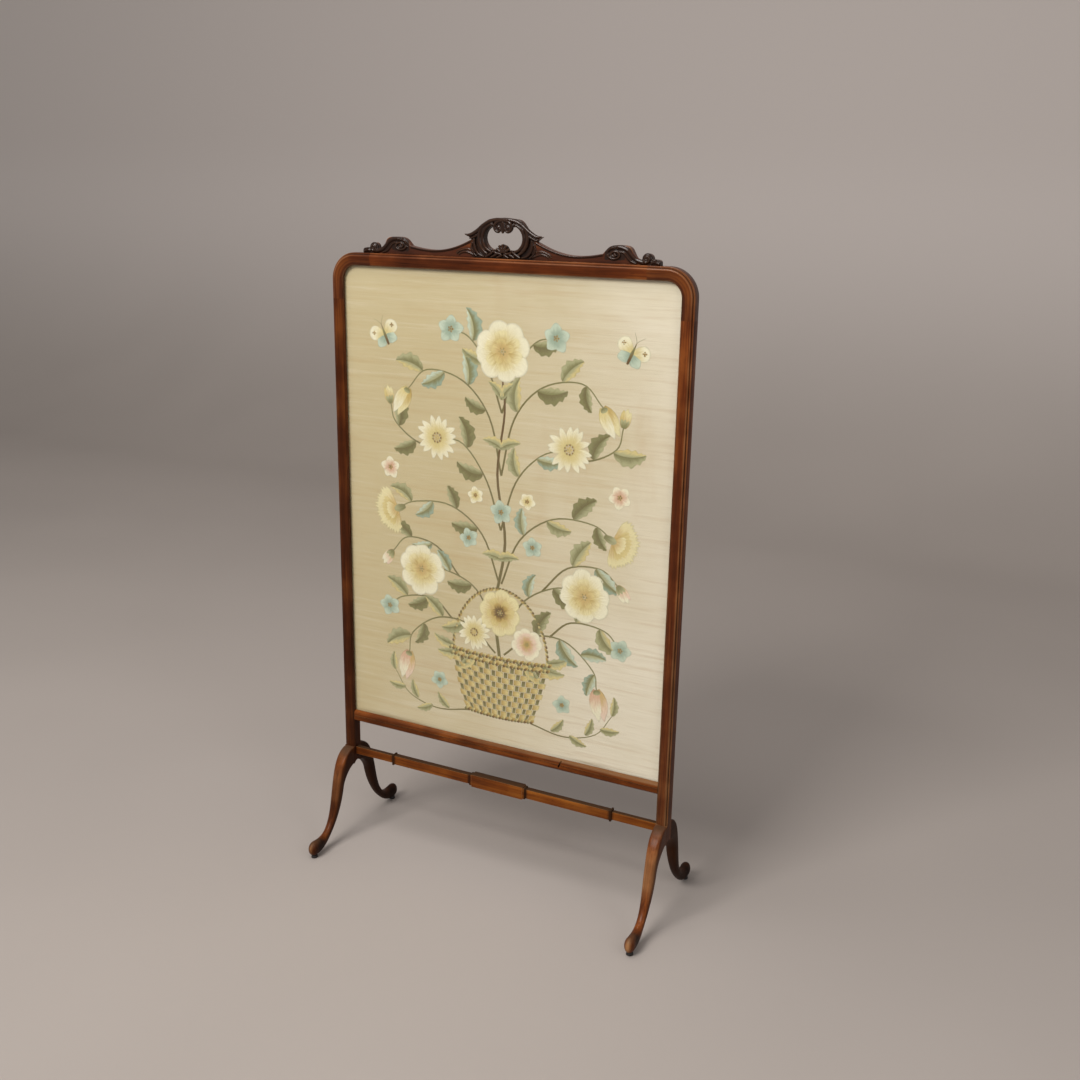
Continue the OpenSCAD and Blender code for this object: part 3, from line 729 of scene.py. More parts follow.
class SCREEN_OT_uprights(bpy.types.Operator):
    """Models the two uprights."""
    bl_idname = "fire_screen.uprights"
    bl_label = "Uprights"

    def execute(self, context):
        right = settle(make_upright(), "upright_right")
        mark_age(right, extra_wear_and_highlight=lambda p: shoulder_wear_and_highlight(p[:, 0] - SIGHT_X, p[:, 1])
                 + 0.3 * np.clip((0.42 - p[:, 2]) / 0.12, 0, 1) * (p[:, 2] > 0.16))
        # Darker towards the upright's foot, below 0.21 m.
        add_dirt_and_shade(right, 0.16 * np.clip((0.21 - points_of(right.data)[:, 2]) / 0.04, 0, 1))
        set_grain(right, lambda p: p)
        left = mirrored(right, "upright_left", "x")
        # Lit and shaded copies of one mahogany: the right upright is painted lighter as painted light, the left darker
        # as painted shade.
        finish = wood("right mahogany", tones("frame", 1.45), wear=0.75, hollow=2.2, rough=0.38,
                      coat=0.06, mottle=0.2)
        shaded = wood("left mahogany", tones("frame", 0.85), wear=0.35, hollow=2.2, rough=0.40,
                      coat=0.03, mottle=0.2)
        hand_over(right, finish, "frame_wood", "right_upright")
        hand_over(left, shaded, "frame_wood", "left_upright")
        return {"FINISHED"}


def corner_grain(places):
    """Grain that follows the corner: out, back, and along its middle line."""
    radius = settings().frame.corner_radius
    middle = np.array([HALF_W - radius, TOP_Z - radius])
    x, y, z = places.T
    dx, dz = x - middle[0], z - middle[1]
    angle = np.clip(np.arctan2(dx, dz), 0, math.pi / 2)
    out = np.where(dx < 0, dz, np.where(dz < 0, dx, np.hypot(dx, dz)))
    along = np.where(dx < 0, dx, np.where(dz < 0, radius * math.pi / 2 - dz, angle * radius))
    return np.stack([out, y, along], axis=1)


class SCREEN_OT_corners(bpy.types.Operator):
    """Models the two rounded top corners."""
    bl_idname = "fire_screen.corners"
    bl_label = "Corners"

    def execute(self, context):
        radius = settings().frame.corner_radius
        centre = (HALF_W - radius, 0, TOP_Z - radius)
        points = [(JOINT_X, FRONT_Y + v, SIGHT_TOP + u) for u, v in frame_section(True)]
        corner = add_outline(points, "corner")
        edit(corner)
        bpy.ops.mesh.select_all(action="SELECT")
        extrude((centre[0] - JOINT_X, 0, 0))
        choose_faces(lambda p, n: abs(p.x - centre[0]) < MM / 10 and abs(n.x) > 0.9)
        bpy.ops.mesh.spin(steps=28, angle=-math.pi / 2, center=centre, axis=(0, 1, 0))
        choose_faces(lambda p, n: abs(p.z - centre[2]) < MM / 10 and abs(n.z) > 0.9)
        extrude((0, 0, JOINT_Z - centre[2]))
        close_up(corner)
        smooth(corner)
        right = settle(corner, "corner_right")
        mark_age(right, extra_wear_and_highlight=lambda p: shoulder_wear_and_highlight(corner_grain(p)[:, 0] - radius + MEMBER,
                                                           p[:, 1]))
        set_grain(right, corner_grain)
        left = mirrored(right, "corner_left", "x")
        finish = wood("corner mahogany", tones("frame"), wear=0.8, hollow=2.2, rough=0.34, coat=0.22,
                      seed=0.7, mottle=0.2)
        hand_over(right, finish, "frame_wood", "right_corner")
        hand_over(left, finish, "frame_wood", "left_corner")
        return {"FINISHED"}


class SCREEN_OT_top_rail(bpy.types.Operator):
    """Models the straight moulded rail under the crest."""
    bl_idname = "fire_screen.top_rail"
    bl_label = "Top rail"

    def execute(self, context):
        points = [(-JOINT_X, FRONT_Y + v, SIGHT_TOP + u) for u, v in frame_section(True)]
        rail = add_outline(points, "rail")
        edit(rail)
        bpy.ops.mesh.select_all(action="SELECT")
        extrude((2 * JOINT_X, 0, 0))
        close_up(rail)
        smooth(rail)
        settle(rail, "rail_top")
        mark_age(rail, extra_wear_and_highlight=lambda p: shoulder_wear_and_highlight(p[:, 2] - SIGHT_TOP, p[:, 1]))
        set_grain(rail, lambda p: p[:, [2, 1, 0]])
        finish = wood("rail mahogany", tones("frame", 1.75), wear=0.8, hollow=2.0, rough=0.40,
                      coat=0.04, seed=1.9, mottle=0.2)
        hand_over(rail, finish, "frame_wood", "top_rail")
        return {"FINISHED"}


class SCREEN_OT_bottom_rail(bpy.types.Operator):
    """Models the rail under the panel, with its rounded upper edge and tenons."""
    bl_idname = "fire_screen.bottom_rail"
    bl_label = "Bottom rail"

    def execute(self, context):
        s = settings().frame
        front = RAIL[0].y
        top = RAIL[0].z + MEMBER + MM / 2
        rail = add_box((-SIGHT_X, front, RAIL[0].z), (SIGHT_X, BACK_Y, top))
        edit(rail)
        choose_edges(lambda a, b: min(a.z, b.z) > top - MM and max(a.y, b.y) < front + MM)
        bpy.ops.mesh.bevel(offset=s.rail_edge, segments=10, profile=0.5)
        choose_edges(lambda a, b: max(a.z, b.z) < RAIL[0].z + MM and abs(a.y - b.y) < MM / 10)
        bpy.ops.mesh.bevel(offset=s.rail_foot, segments=1)
        rebate = add_box((-HALF_W, FRONT_Y + s.lip_depth, top - s.rebate_width),
                         (HALF_W, BACK_Y + MM, top + MM))
        cut_or_join(rail, rebate, "DIFFERENCE")
        line = add_box((-SIGHT_X - MM, front - 0.5 * MM, top - s.rail_edge - 1.2 * MM),
                       (SIGHT_X + MM, front + 0.7 * MM, top - s.rail_edge - 0.4 * MM))
        cut_or_join(rail, line, "DIFFERENCE")
        cut_or_join(rail, self.notch(front, top), "DIFFERENCE")
        shoulder = 3 * MM
        tenon = add_box((RAIL[0].x, front + shoulder, RAIL[0].z + shoulder),
                        (RAIL[1].x, front + shoulder + 9 * MM, top - s.rebate_width - shoulder))
        cut_or_join(rail, tenon, "UNION")
        close_up(rail)
        smooth(rail)
        settle(rail, "rail_bottom")
        mark_age(rail)
        x, y, z = points_of(rail.data).T
        add_dirt_and_shade(rail, (np.abs(x - 0.118) < 6 * MM) * (np.abs(y - front - 2.5 * MM) < 0.05 * MM)
             * (z < top - 2 * MM))
        mark_film(rail, lambda p, n: np.clip((p[:, 2] - top + 8 * MM) / (3.5 * MM), 0, 1)
                  * np.clip(0.5 + p[:, 0] * 1.6, 0, 1))
        set_grain(rail, lambda p: p[:, [2, 1, 0]])
        finish = wood("low rail mahogany", tones("leg"), wear=0.9, hollow=2.4, rough=0.44,
                      coat=0.03, seed=3.1, mottle=0.5, film=settings().colours.rail_dust)
        hand_over(rail, finish, "frame_wood", "bottom_rail")
        return {"FINISHED"}

    @staticmethod
    def notch(front, top):
        """Cutter of the short slanting notch in the rail's face."""
        start_clean()
        bpy.ops.mesh.primitive_cube_add(size=1, location=(0.118, front, top - 9 * MM),
                                        rotation=(0, math.radians(24), 0))
        cutter = bpy.context.object
        cutter.scale = (2.4 * MM, 5 * MM, 14 * MM)
        return settle(cutter, "notch")


# Stretcher, legs and pads

def step_out(side, distance, depth, height, size, level):
    """Takes the end face of the bar out by a distance and gives it a new section."""
    extrude((side * distance, 0, 0))
    bpy.ops.transform.resize(value=(1, depth / size[0], height / size[1]),
                             center_override=(0, 0, level))
    return depth, height


class SCREEN_OT_stretcher(bpy.types.Operator):
    """Models the stretcher: bar, rings, stepped tablet and tenons."""
    bl_idname = "fire_screen.stretcher"
    bl_label = "Stretcher"

    def execute(self, context):
        s = settings().legs
        low, high = BAR
        level = (low.z + high.z) / 2
        tall, deep = high.z - low.z, high.y - low.y
        half = s.tablet_length / 2
        bar = (s.bar_depth, s.bar_height)
        middle = (s.middle_depth, s.middle_height)
        step = ((deep + middle[0]) / 2, (tall + middle[1]) / 2)
        ring = (middle[0] + 2 * s.ring_out, middle[1] + 2 * s.ring_out)
        tenon = (bar[0] - 1.5 * MM, bar[1] - 3 * MM)
        ring_low = s.ring_place - s.ring_width / 2
        beside = 6 * MM
        runs = [(0, step), (s.tablet_step, step), (0, middle), (beside, middle),
                (ring_low - half - s.tablet_step - 2 * beside, middle), (beside, middle),
                (0, ring), (s.ring_width, ring), (0, bar), (beside, bar),
                (SIGHT_X - ring_low - s.ring_width - beside, bar), (0, tenon),
                (high.x - SIGHT_X, tenon)]
        body = add_box((-half, low.y, low.z), (half, high.y, high.z))
        for side in (-1, 1):
            edit(body)
            choose_faces(lambda p, n: n.x * side > 0.9 and p.x * side > half - MM)
            size = (deep, tall)
            for distance, (depth, height) in runs:
                size = step_out(side, distance, depth, height, size, level)
        close_up(body)
        round_edges(body, 1.1 * MM, 4)
        smooth(body)
        settle(body, "stretcher_bar")
        mark_age(body)
        self.add_dirt_and_shade(body)
        mark_film(body, lambda p, n: np.clip(n[:, 2] * 1.6 - 0.5, 0, 1))
        set_grain(body, lambda p: p[:, [2, 1, 0]])
        finish = wood("stretcher mahogany", tones("bar"), wear=0.9, hollow=1.6, rough=0.46,
                      coat=0.03, seed=4.7, mottle=0.35, film=settings().colours.bar_grime)
        hand_over(body, finish, "leg_wood", "stretcher")
        return {"FINISHED"}

    @staticmethod
    def add_dirt_and_shade(body):
        """Darkens the rings, paints shadow on the bar beside them, and darkens the bar at the tablet's step."""
        s = settings().legs
        x = np.abs(points_of(body.data)[:, 0])
        # Painted shadow on the bar beside the rings; darker at the tablet's step.
        near = np.maximum(np.clip(1 - np.abs(x - s.ring_place) / (5 * MM), 0, 1),
                          np.clip(1 - np.abs(x - s.tablet_length / 2 - s.tablet_step) / (3 * MM), 0, 1))
        add_dirt_and_shade(body, 0.5 * near)


SHIN_LEAN = math.radians(12.7)
LEG_SIDES = 40


def ease(t):
    return t * t * (3 - 2 * t)


def between(a, b, t):
    return a + (b - a) * t


def curve_point(handles, t):
    a, b, c, d = handles
    return (1 - t) ** 3 * a + 3 * t * (1 - t) ** 2 * b + 3 * t * t * (1 - t) * c + t ** 3 * d


def curve_way(handles, t):
    a, b, c, d = handles
    way = (1 - t) ** 2 * (b - a) + 2 * t * (1 - t) * (c - b) + t * t * (d - c)
    return way / np.linalg.norm(way)


def leg_rings():
    """Rings of a leg: middle, way, thickness, width and how square the section is."""
    s = settings().legs
    block = np.array([BACK_Y, (BLOCK_LOW + settings().frame.block_top) / 2])
    shin = np.array([s.shin_out, s.shin_height])
    toe = np.array([-PAD[0].y - (PAD[1].y - PAD[0].y) / 2, s.toe_height])
    lean = np.array([math.sin(SHIN_LEAN), -math.cos(SHIN_LEAN)])
    knee = [block, block + np.array([18 * MM, 0]), shin - 20 * MM * lean, shin]
    foot = [shin, shin + 46 * MM * lean, toe - np.array([44 * MM, 5 * MM]), toe]
    block_tall = settings().frame.block_top - BLOCK_LOW
    shin_wide = s.knee_width - 2 * MM
    rings = []
    for t in np.linspace(0, 1, 26):
        wide = (between(MEMBER, s.knee_width, ease(3 * t)) if t < 1 / 3
                else between(s.knee_width, shin_wide, ease((t - 1 / 3) * 1.5)))
        rings.append((curve_point(knee, t), curve_way(knee, t),
                      between(block_tall, s.shin_thickness, ease(t)), wide, between(0.25, 0.75, ease(t))))
    for t in np.linspace(0, 1, 36)[1:]:
        part = ease(t / 0.6) if t < 0.6 else ease((t - 0.6) / 0.4)
        sizes = ([(s.shin_thickness, s.ankle_thickness), (shin_wide, s.ankle_width)] if t < 0.6 else
                 [(s.ankle_thickness, s.toe_thickness), (s.ankle_width, s.toe_width)])
        thick, wide = (between(a, b, part) for a, b in sizes)
        rings.append((curve_point(foot, t), curve_way(foot, t), thick, wide,
                      between(0.75, 0.95, ease(t))))
    way = curve_way(foot, 1)
    for angle in np.radians([14, 28, 41, 53, 63, 71, 78]):
        rings.append((toe + 12 * MM * math.sin(angle) * way, way, s.toe_thickness * math.cos(angle),
                      s.toe_width * math.cos(angle), 0.95))
    return rings


def ring_places(ring):
    """Points of one ring of the front right leg."""
    middle, way, thick, wide, square = ring
    places = []
    for k in range(LEG_SIDES):
        a = 2 * math.pi * k / LEG_SIDES
        across = math.copysign(abs(math.cos(a)) ** square, math.cos(a)) * wide / 2
        normal = math.copysign(abs(math.sin(a)) ** square, math.sin(a)) * thick / 2
        distance = middle[0] - way[1] * normal
        height = middle[1] + way[0] * normal
        places.append((UPRIGHT_X + across, -distance, height))
    return places


class SCREEN_OT_legs(bpy.types.Operator):
    """Models the four scrolling legs."""
    bl_idname = "fire_screen.legs"
    bl_label = "Legs"

    def execute(self, context):
        rings = leg_rings()
        leg = add_outline(ring_places(rings[0]), "leg")
        edit(leg)
        bpy.ops.mesh.select_all(action="SELECT")
        before = ring_places(rings[0])
        for ring in rings[1:]:
            extrude((0, 0, 0))
            after = ring_places(ring)
            bm = bmesh.from_edit_mesh(leg.data)
            bm.verts.ensure_lookup_table()
            for vertex in bm.verts[-LEG_SIDES:]:
                number = min(range(LEG_SIDES), key=lambda k: (Vector(before[k]) - vertex.co).length)
                vertex.co = after[number]
            bmesh.update_edit_mesh(leg.data)
            before = after
        close_up(leg)
        edit(leg)
        bpy.ops.mesh.select_all(action="SELECT")
        bpy.ops.mesh.bisect(plane_co=(0, 0, PAD[1].z), plane_no=(0, 0, -1), use_fill=True,
                            clear_outer=True)
        close_up(leg)
        smooth(leg, math.radians(50))
        front = settle(leg, "leg_front_right")
        mark_age(front, 0.0009, 3, self.rubbed)
        self.add_dirt_and_shade(front)
        mark_film(front, self.film)
        set_grain(front, self.grain)
        film = settings().colours.knee_film
        # Lit and shaded copies of one leg mahogany: the front right leg is painted lighter as painted light, the front
        # left darker and the rear legs much darker as painted shade.
        finish = wood("leg mahogany", tones("leg", 1.35), wear=1.3, hollow=1.25, rough=0.36,
                      coat=0.12, seed=6.3, polish=0.24, mottle=0.5, film=film)
        shaded = wood("left leg mahogany", tones("leg", 0.9), wear=0.85, hollow=1.4, rough=0.38,
                      coat=0.08, seed=2.6, polish=0.24, mottle=0.5, film=film)
        rear = wood("rear leg mahogany", tones("leg", 0.32),
                    wear=0.22, hollow=1.2, rough=0.44, coat=0.05, seed=9.1, mottle=0.4)
        made = {"front_right_leg": (front, finish)}
        made["front_left_leg"] = mirrored(front, "leg_front_left", "x"), shaded
        made["rear_right_leg"] = mirrored(front, "leg_rear_right", "y"), rear
        made["rear_left_leg"] = mirrored(made["front_left_leg"][0], "leg_rear_left", "y"), rear
        for name, (obj, material) in made.items():
            hand_over(obj, material, "leg_wood", name)
        return {"FINISHED"}

    @staticmethod
    def add_dirt_and_shade(leg):
        """Paints shade on the flanks and the underside, and darkens the line round the toe."""
        places = points_of(leg.data)
        normals = point_normals(leg.data)
        across = np.abs(normals[:, 0])
        inward = np.clip(normals[:, 1], 0, 1)
        toe = np.clip(1 - np.abs(np.abs(places[:, 1]) - 112 * MM) / (11 * MM), 0, 1)
        # Painted shade on the flanks and back-facing sides, and a darker line round the toe.
        add_dirt_and_shade(leg, 0.34 * across ** 3 + 0.30 * inward + 0.42 * toe * (places[:, 2] < 40 * MM))

    @staticmethod
    def film(p, n):
        """A dull film on the knee's top beside the block, and on the toe."""
        knee = 0.8 * np.clip((p[:, 2] - 140 * MM) / (22 * MM), 0, 1)
        toe = 0.6 * np.clip((np.abs(p[:, 1]) - 104 * MM) / (10 * MM), 0, 1)
        return np.clip(n[:, 2] + 0.3 * toe, 0, 1) * np.maximum(knee, toe)

    @staticmethod
    def rubbed(p):
        """More wear on the toe's front, and along the shin's ridge wear with a painted highlight."""
        out = np.abs(p[:, 1])
        side = np.clip(1 - np.abs(np.abs(p[:, 0]) - UPRIGHT_X) / (7 * MM), 0, 1)
        toe = side * np.clip((out - 120 * MM) / (14 * MM), 0, 1) * np.clip(p[:, 2] / (16 * MM), 0, 1)
        # Along the shin's ridge: wear and a painted highlight.
        shin = 0.30 * np.clip((p[:, 2] - 45 * MM) / (40 * MM), 0, 1)
        return 0.75 * toe + shin * np.clip((out - 34 * MM) / (18 * MM), 0, 1)

    @staticmethod
    def grain(p):
        """Straight grain that leans with the shin."""
        x, y, z = p.T
        out = np.abs(y)
        return np.stack([x, out * math.cos(SHIN_LEAN) + z * math.sin(SHIN_LEAN),
                         z * math.cos(SHIN_LEAN) - out * math.sin(SHIN_LEAN)], axis=1)


class SCREEN_OT_pads(bpy.types.Operator):
    """Models the four turned pads."""
    bl_idname = "fire_screen.pads"
    bl_label = "Pads"

    def execute(self, context):
        start_clean()
        low, high = PAD
        radius = (high.x - low.x) / 2
        middle = ((low.x + high.x) / 2, (low.y + high.y) / 2, (low.z + high.z) / 2)
        bpy.ops.mesh.primitive_cylinder_add(vertices=40, radius=radius, depth=high.z - low.z,
                                            location=middle)
        pad = settle(bpy.context.object, "pad_front_right")
        edit(pad)
        choose_faces(lambda p, n: n.z > 0.9)
        bpy.ops.transform.resize(value=(0.84, 0.84, 1), center_override=(middle[0], middle[1], high.z))
        bpy.ops.mesh.inset(thickness=radius * 0.2)
        choose_faces(lambda p, n: n.z < -0.9)
        bpy.ops.mesh.inset(thickness=radius * 0.3)
        start_clean()
        round_edges(pad, 1.1 * MM, 4)
        smooth(pad)
        f = Finish("pad wood")
        grain = f.noise(f.object_coords(), (400, 400, 60), 4)
        shade = f.mix(grain.step(0.3, 0.7), tuple(settings().colours.hollow),
                      tuple(settings().colours.pad))
        finish = f.surface({"Base Color": shade, "Roughness": grain * 0.2 + 0.5,
                            "Normal": f.bump(grain, 0.0002, 0.5)})
        hand_over(pad, finish, "pad_wood", "front_right_pad")
        left = mirrored(pad, "pad_front_left", "x")
        hand_over(left, finish, "pad_wood", "front_left_pad")
        hand_over(mirrored(pad, "pad_rear_right", "y"), finish, "pad_wood", "rear_right_pad")
        hand_over(mirrored(left, "pad_rear_left", "y"), finish, "pad_wood", "rear_left_pad")
        return {"FINISHED"}


# Crest

HOLE_TURN = 90
FIELD_BACK = 0.7
RING_FIELD_BACK = -1.5
CARVED_FRONT = 3.6


def crest_outline():
    """Right half of the crest's outline in mm from its middle and the rail's top, as curves."""
    end, foot, knob = (253, 0), (253, 4), (244, 8.5)
    hollow, shoulder_foot, shoulder = (224.5, 6), (210, 18.5), (187, 26.5)
    swoop, dip, notch, leaf, ring = (164, 14), (122, 9), (55, 27), (64, 34), (22.5, 58)
    curves = [
        (foot, (253, 8), (248, 8.5), knob),
        ((233, 10), (229, 10), (228.5, 6), hollow),
        (hollow, (216.5, 6), (214, 10.5), shoulder_foot),
        (shoulder_foot, (206, 26.5), (201, 26.5), shoulder),
        (shoulder, (173, 26.5), (171, 21), swoop),
        (swoop, (157, 12), (138, 9), dip),
        (dip, (94, 9), (71, 19), notch),
        (leaf, (36, 30), (38.5, 56), ring),
    ]
    points = [(0, 0), end]
    for curve in curves:
        handles = [np.array(p, float) for p in curve]
        points += [tuple(curve_point(handles, t)) for t in np.linspace(0, 1, 15)]
    return points + [(0, 60)]


def crest_place(x, height, back):
    """A place on the crest, in metres."""
    return (x * MM, back * MM, TOP_Z + height * MM)


def crest_plate(front):
    """The whole outline as a plate from that depth to the frame's back."""
    half = crest_outline()
    whole = half[1:-1] + [half[-1]] + [(-x, h) for x, h in reversed(half[1:-1])]
    plate = add_outline([crest_place(x, h, front) for x, h in whole], "plate")
    edit(plate)
    bpy.ops.mesh.select_all(action="SELECT")
    extrude((0, BACK_Y - front * MM, 0))
    close_up(plate)
    return plate


def hole_outline(grow, start=HOLE_TURN, stop=-HOLE_TURN, steps=24):
    """The right half of a line round the hand hole, grown outwards, in mm."""
    s = settings().crest
    half, high, middle = (v / MM for v in (s.hole_width / 2, s.hole_height / 2, s.hole_middle))
    return arc((half - high, middle), high + grow, start, stop, steps)


def hand_hole():
    """Cutter of the hand hole."""
    right = hole_outline(0)
    whole = right + [(-x, h) for x, h in reversed(right)]
    cutter = add_outline([crest_place(x, h, -8) for x, h in whole], "hole")
    edit(cutter)
    bpy.ops.mesh.select_all(action="SELECT")
    extrude((0, 24 * MM, 0))
    close_up(cutter)
    return cutter


def eased_line(points, steps=6):
    """A smooth line through points that carry their radius, as even short steps."""
    p = np.array(points, float)
    p = np.vstack([2 * p[0] - p[1], p, 2 * p[-1] - p[-2]])
    line = []
    for k in range(1, len(p) - 2):
        for t in np.linspace(0, 1, steps, endpoint=False):
            a, b, c, d = p[k - 1], p[k], p[k + 1], p[k + 2]
            line.append(0.5 * (2 * b + (c - a) * t + (2 * a - 5 * b + 4 * c - d) * t * t
                               + (3 * b - a - 3 * c + d) * t ** 3))
    return np.array(line + [p[-2]])


def spiral(middle, wide, high, turns, start, thick, end_thick, steps=30):
    """A carved spiral that runs inwards: places with their radius."""
    made = []
    for t in np.linspace(0, 1, steps):
        a = math.radians(start) + turns * 2 * math.pi * t
        shrink = 1 - 0.78 * t
        made.append((middle[0] + wide * shrink * math.cos(a), middle[1] + high * shrink * math.sin(a),
                     between(thick, end_thick, t)))
    return made


def along_hole(grow, start, stop, thick):
    """A strand that runs beside the hand hole and tapers at both ends."""
    places = hole_outline(grow, start, stop, 14)
    return [(x, h, thick * (0.35 + 0.65 * math.sin(math.pi * (k + 0.6) / 14.2) ** 0.6))
            for k, (x, h) in enumerate(places)]


def swoop_bead():
    """The bead along the swoop, inside its edge."""
    handles = [[(164, 14), (157, 12), (138, 9), (122, 9)], [(122, 9), (94, 9), (71, 19), (55, 27)]]
    line = []
    for curve in handles:
        curve = [np.array(p, float) for p in curve]
        for t in np.linspace(0.02, 0.98, 12):
            place, way = curve_point(curve, t), curve_way(curve, t)
            inside = place + 1.6 * np.array([-way[1], way[0]])
            line.append((inside[0], inside[1], 1.5))
    return line


# Carved strokes of the right half: how far each stands back from the foremost carving, and its
# places with their radius, all in mm
def carved_strokes():
    return [
        (0.0, [(-1, 57.4, 2.5), (11, 56.9, 2.8), (23, 54.3, 3.0), (34, 48.2, 3.0), (44, 40.4, 3.0),
               (53, 35.0, 2.8), (60, 33.3, 2.1), (65.5, 34.8, 0.7)]),
        (0.9, [(17, 51.6, 1.2), (27, 47.4, 1.9), (36, 40.6, 2.0), (44, 33.6, 1.9), (53, 29.4, 1.4),
               (58, 28.6, 0.8)]),
        (0.2, along_hole(2.8, 84, -76, 3.0)),
        (0.0, along_hole(8.6, 62, -64, 3.5)),
        (0.7, [(49, 28, 0.8), (49.5, 20, 1.9), (46.5, 11, 2.3), (40, 4.6, 2.1), (32, 2.2, 1.2)]),
        (1.2, [(53, 22, 0.7), (54, 14, 1.5), (51, 7, 1.6), (45, 2.4, 1.0)]),
        (0.3, [(30, 2.0, 1.2), (25, 4.4, 2.2), (20, 7.4, 2.1), (16.5, 10.8, 1.0)]),
        (0.3, [(20, 1.7, 1.2), (15, 4.0, 2.2), (10.5, 6.6, 2.0), (8, 8.6, 1.2)]),
        (0.3, [(10, 1.5, 1.2), (6, 3.2, 2.0), (1, 5.4, 2.0)]),
        (1.7, [(49, 3.0, 1.0), (56, 6.2, 1.3), (64, 8.2, 1.2), (72, 7.0, 1.0), (77, 3.6, 0.7)]),
        (1.8, [(56, 11.5, 0.7), (62, 12.6, 1.0), (70, 11.4, 1.0), (78, 7.8, 0.8), (81, 4.6, 0.6)]),
        (0.0, [(0, 55.6, 2.4), (7, 55.0, 2.9), (13, 51.0, 3.1), (14.6, 45.4, 2.8), (12.0, 40.8, 2.4),
               (7.6, 39.2, 2.0), (4.6, 41.4, 1.6), (4.8, 44.4, 1.1)]),
        (-0.2, [(0, 54.0, 1.6), (1.4, 48.0, 2.6), (1.2, 42.0, 2.4), (0.2, 37.4, 1.2)]),
        (0.4, [(20, 55.0, 0.9), (20.5, 50.4, 1.8), (19, 46.6, 1.3)]),
        (0.0, [(0, 9.0, 1.6), (0, 16.5, 2.3), (0, 21.6, 2.1)]),
        (0.1, [(1.2, 8.8, 1.4), (4.4, 15.4, 2.2), (6.6, 19.6, 2.0)]),
        (0.2, [(2.0, 8.4, 1.4), (7.4, 12.2, 2.1), (11.2, 15.0, 1.9)]),
        (0.3, [(2.0, 6.2, 1.4), (8.5, 7.6, 1.9), (13.6, 9.0, 1.8), (15.2, 12.0, 1.3), (13.0, 12.6, 0.9)]),
        (1.5, swoop_bead()),
        (0.2, spiral((182.4, 13.2), 10.8, 6.9, 1.45, 185, 1.9, 1.2)),
        (0.9, [(171.5, 17.0, 1.4), (174.5, 20.4, 1.8), (180, 22.4, 1.8), (187, 22.6, 1.8)]),
        (0.4, [(177.5, 24.4, 1.2), (178.5, 20.6, 1.2)]),
        (0.4, [(182.5, 25.0, 1.2), (182.8, 21.0, 1.2)]),
        (0.4, [(187.4, 25.0, 1.2), (186.8, 21.2, 1.2)]),
        (0.6, [(184, 24.0, 2.0), (194, 23.2, 3.0), (203, 19.6, 3.3), (209, 13.4, 3.4), (216, 7.2, 3.4),
               (225, 4.2, 3.3), (233, 3.6, 2.6)]),
        (1.3, [(190, 17.4, 0.8), (197, 15.6, 1.5), (202, 10.4, 1.8), (208, 4.6, 1.8), (216, 1.6, 1.4)]),
        (0.0, spiral((232.6, 8.8), 5.2, 5.2, 1.35, 200, 1.6, 1.0)),
        (1.0, [(239, 3.2, 2.2), (243.6, 4.8, 3.0), (248, 3.6, 2.4), (251, 2.4, 1.6)]),
        (1.0, [(242, 7.6, 1.2), (245, 6.8, 2.0), (247.5, 5.2, 1.0)]),
    ]


# Carved swellings of the right half: middle, how wide and high to each side, how deep, and how
# far each stands back, in mm
CARVED_BALLS = [(8.0, 45.2, 5.6, 5.4, 4.6, 0.5),
                (182.6, 13.4, 3.0, 2.2, 2.6, 0.3), (232.8, 8.8, 8.2, 8.2, 4.8, 0.5),
                (250.6, 2.5, 2.4, 2.4, 2.4, 0.8), (243.6, 6.6, 2.2, 2.2, 2.2, 1.4),
                (0.0, 50.0, 14.0, 6.4, 4.4, 1.1), (0.0, 13.0, 9.8, 8.0, 4.4, 1.4)]


def add_strokes():
    """The carved strokes of both halves as one mesh of rounded strands."""
    start_clean()
    line = bpy.data.curves.new("strokes", "CURVE")
    line.dimensions = "3D"
    line.bevel_depth = MM
    line.bevel_resolution = 3
    line.use_fill_caps = True
    for set_back, places in carved_strokes():
        run = eased_line(places, 5)
        for side in (-1, 1):
            spline = line.splines.new("POLY")
            spline.points.add(len(run) - 1)
            for point, (x, height, thick) in zip(spline.points, run):
                back = -CARVED_FRONT + set_back + max(thick, 0.3)
                point.co = (*crest_place(side * x, height, back), 1)
                point.radius = max(thick, 0.3)
    obj = bpy.data.objects.new("strokes", line)
    bpy.context.scene.collection.objects.link(obj)
    pick(obj)
    bpy.ops.object.convert(target="MESH")
    return bpy.context.object


def add_balls():
    """The carved balls of both halves."""
    made = []
    for x, height, wide, high, deep, set_back in CARVED_BALLS:
        for side in (-1, 1):
            start_clean()
            place = crest_place(side * x, height, -CARVED_FRONT + set_back + deep)
            bpy.ops.mesh.primitive_uv_sphere_add(segments=32, ring_count=18, radius=MM, location=place)
            ball = bpy.context.object
            ball.scale = (wide, deep, high)
            made.append(settle(ball, "ball"))
    return made


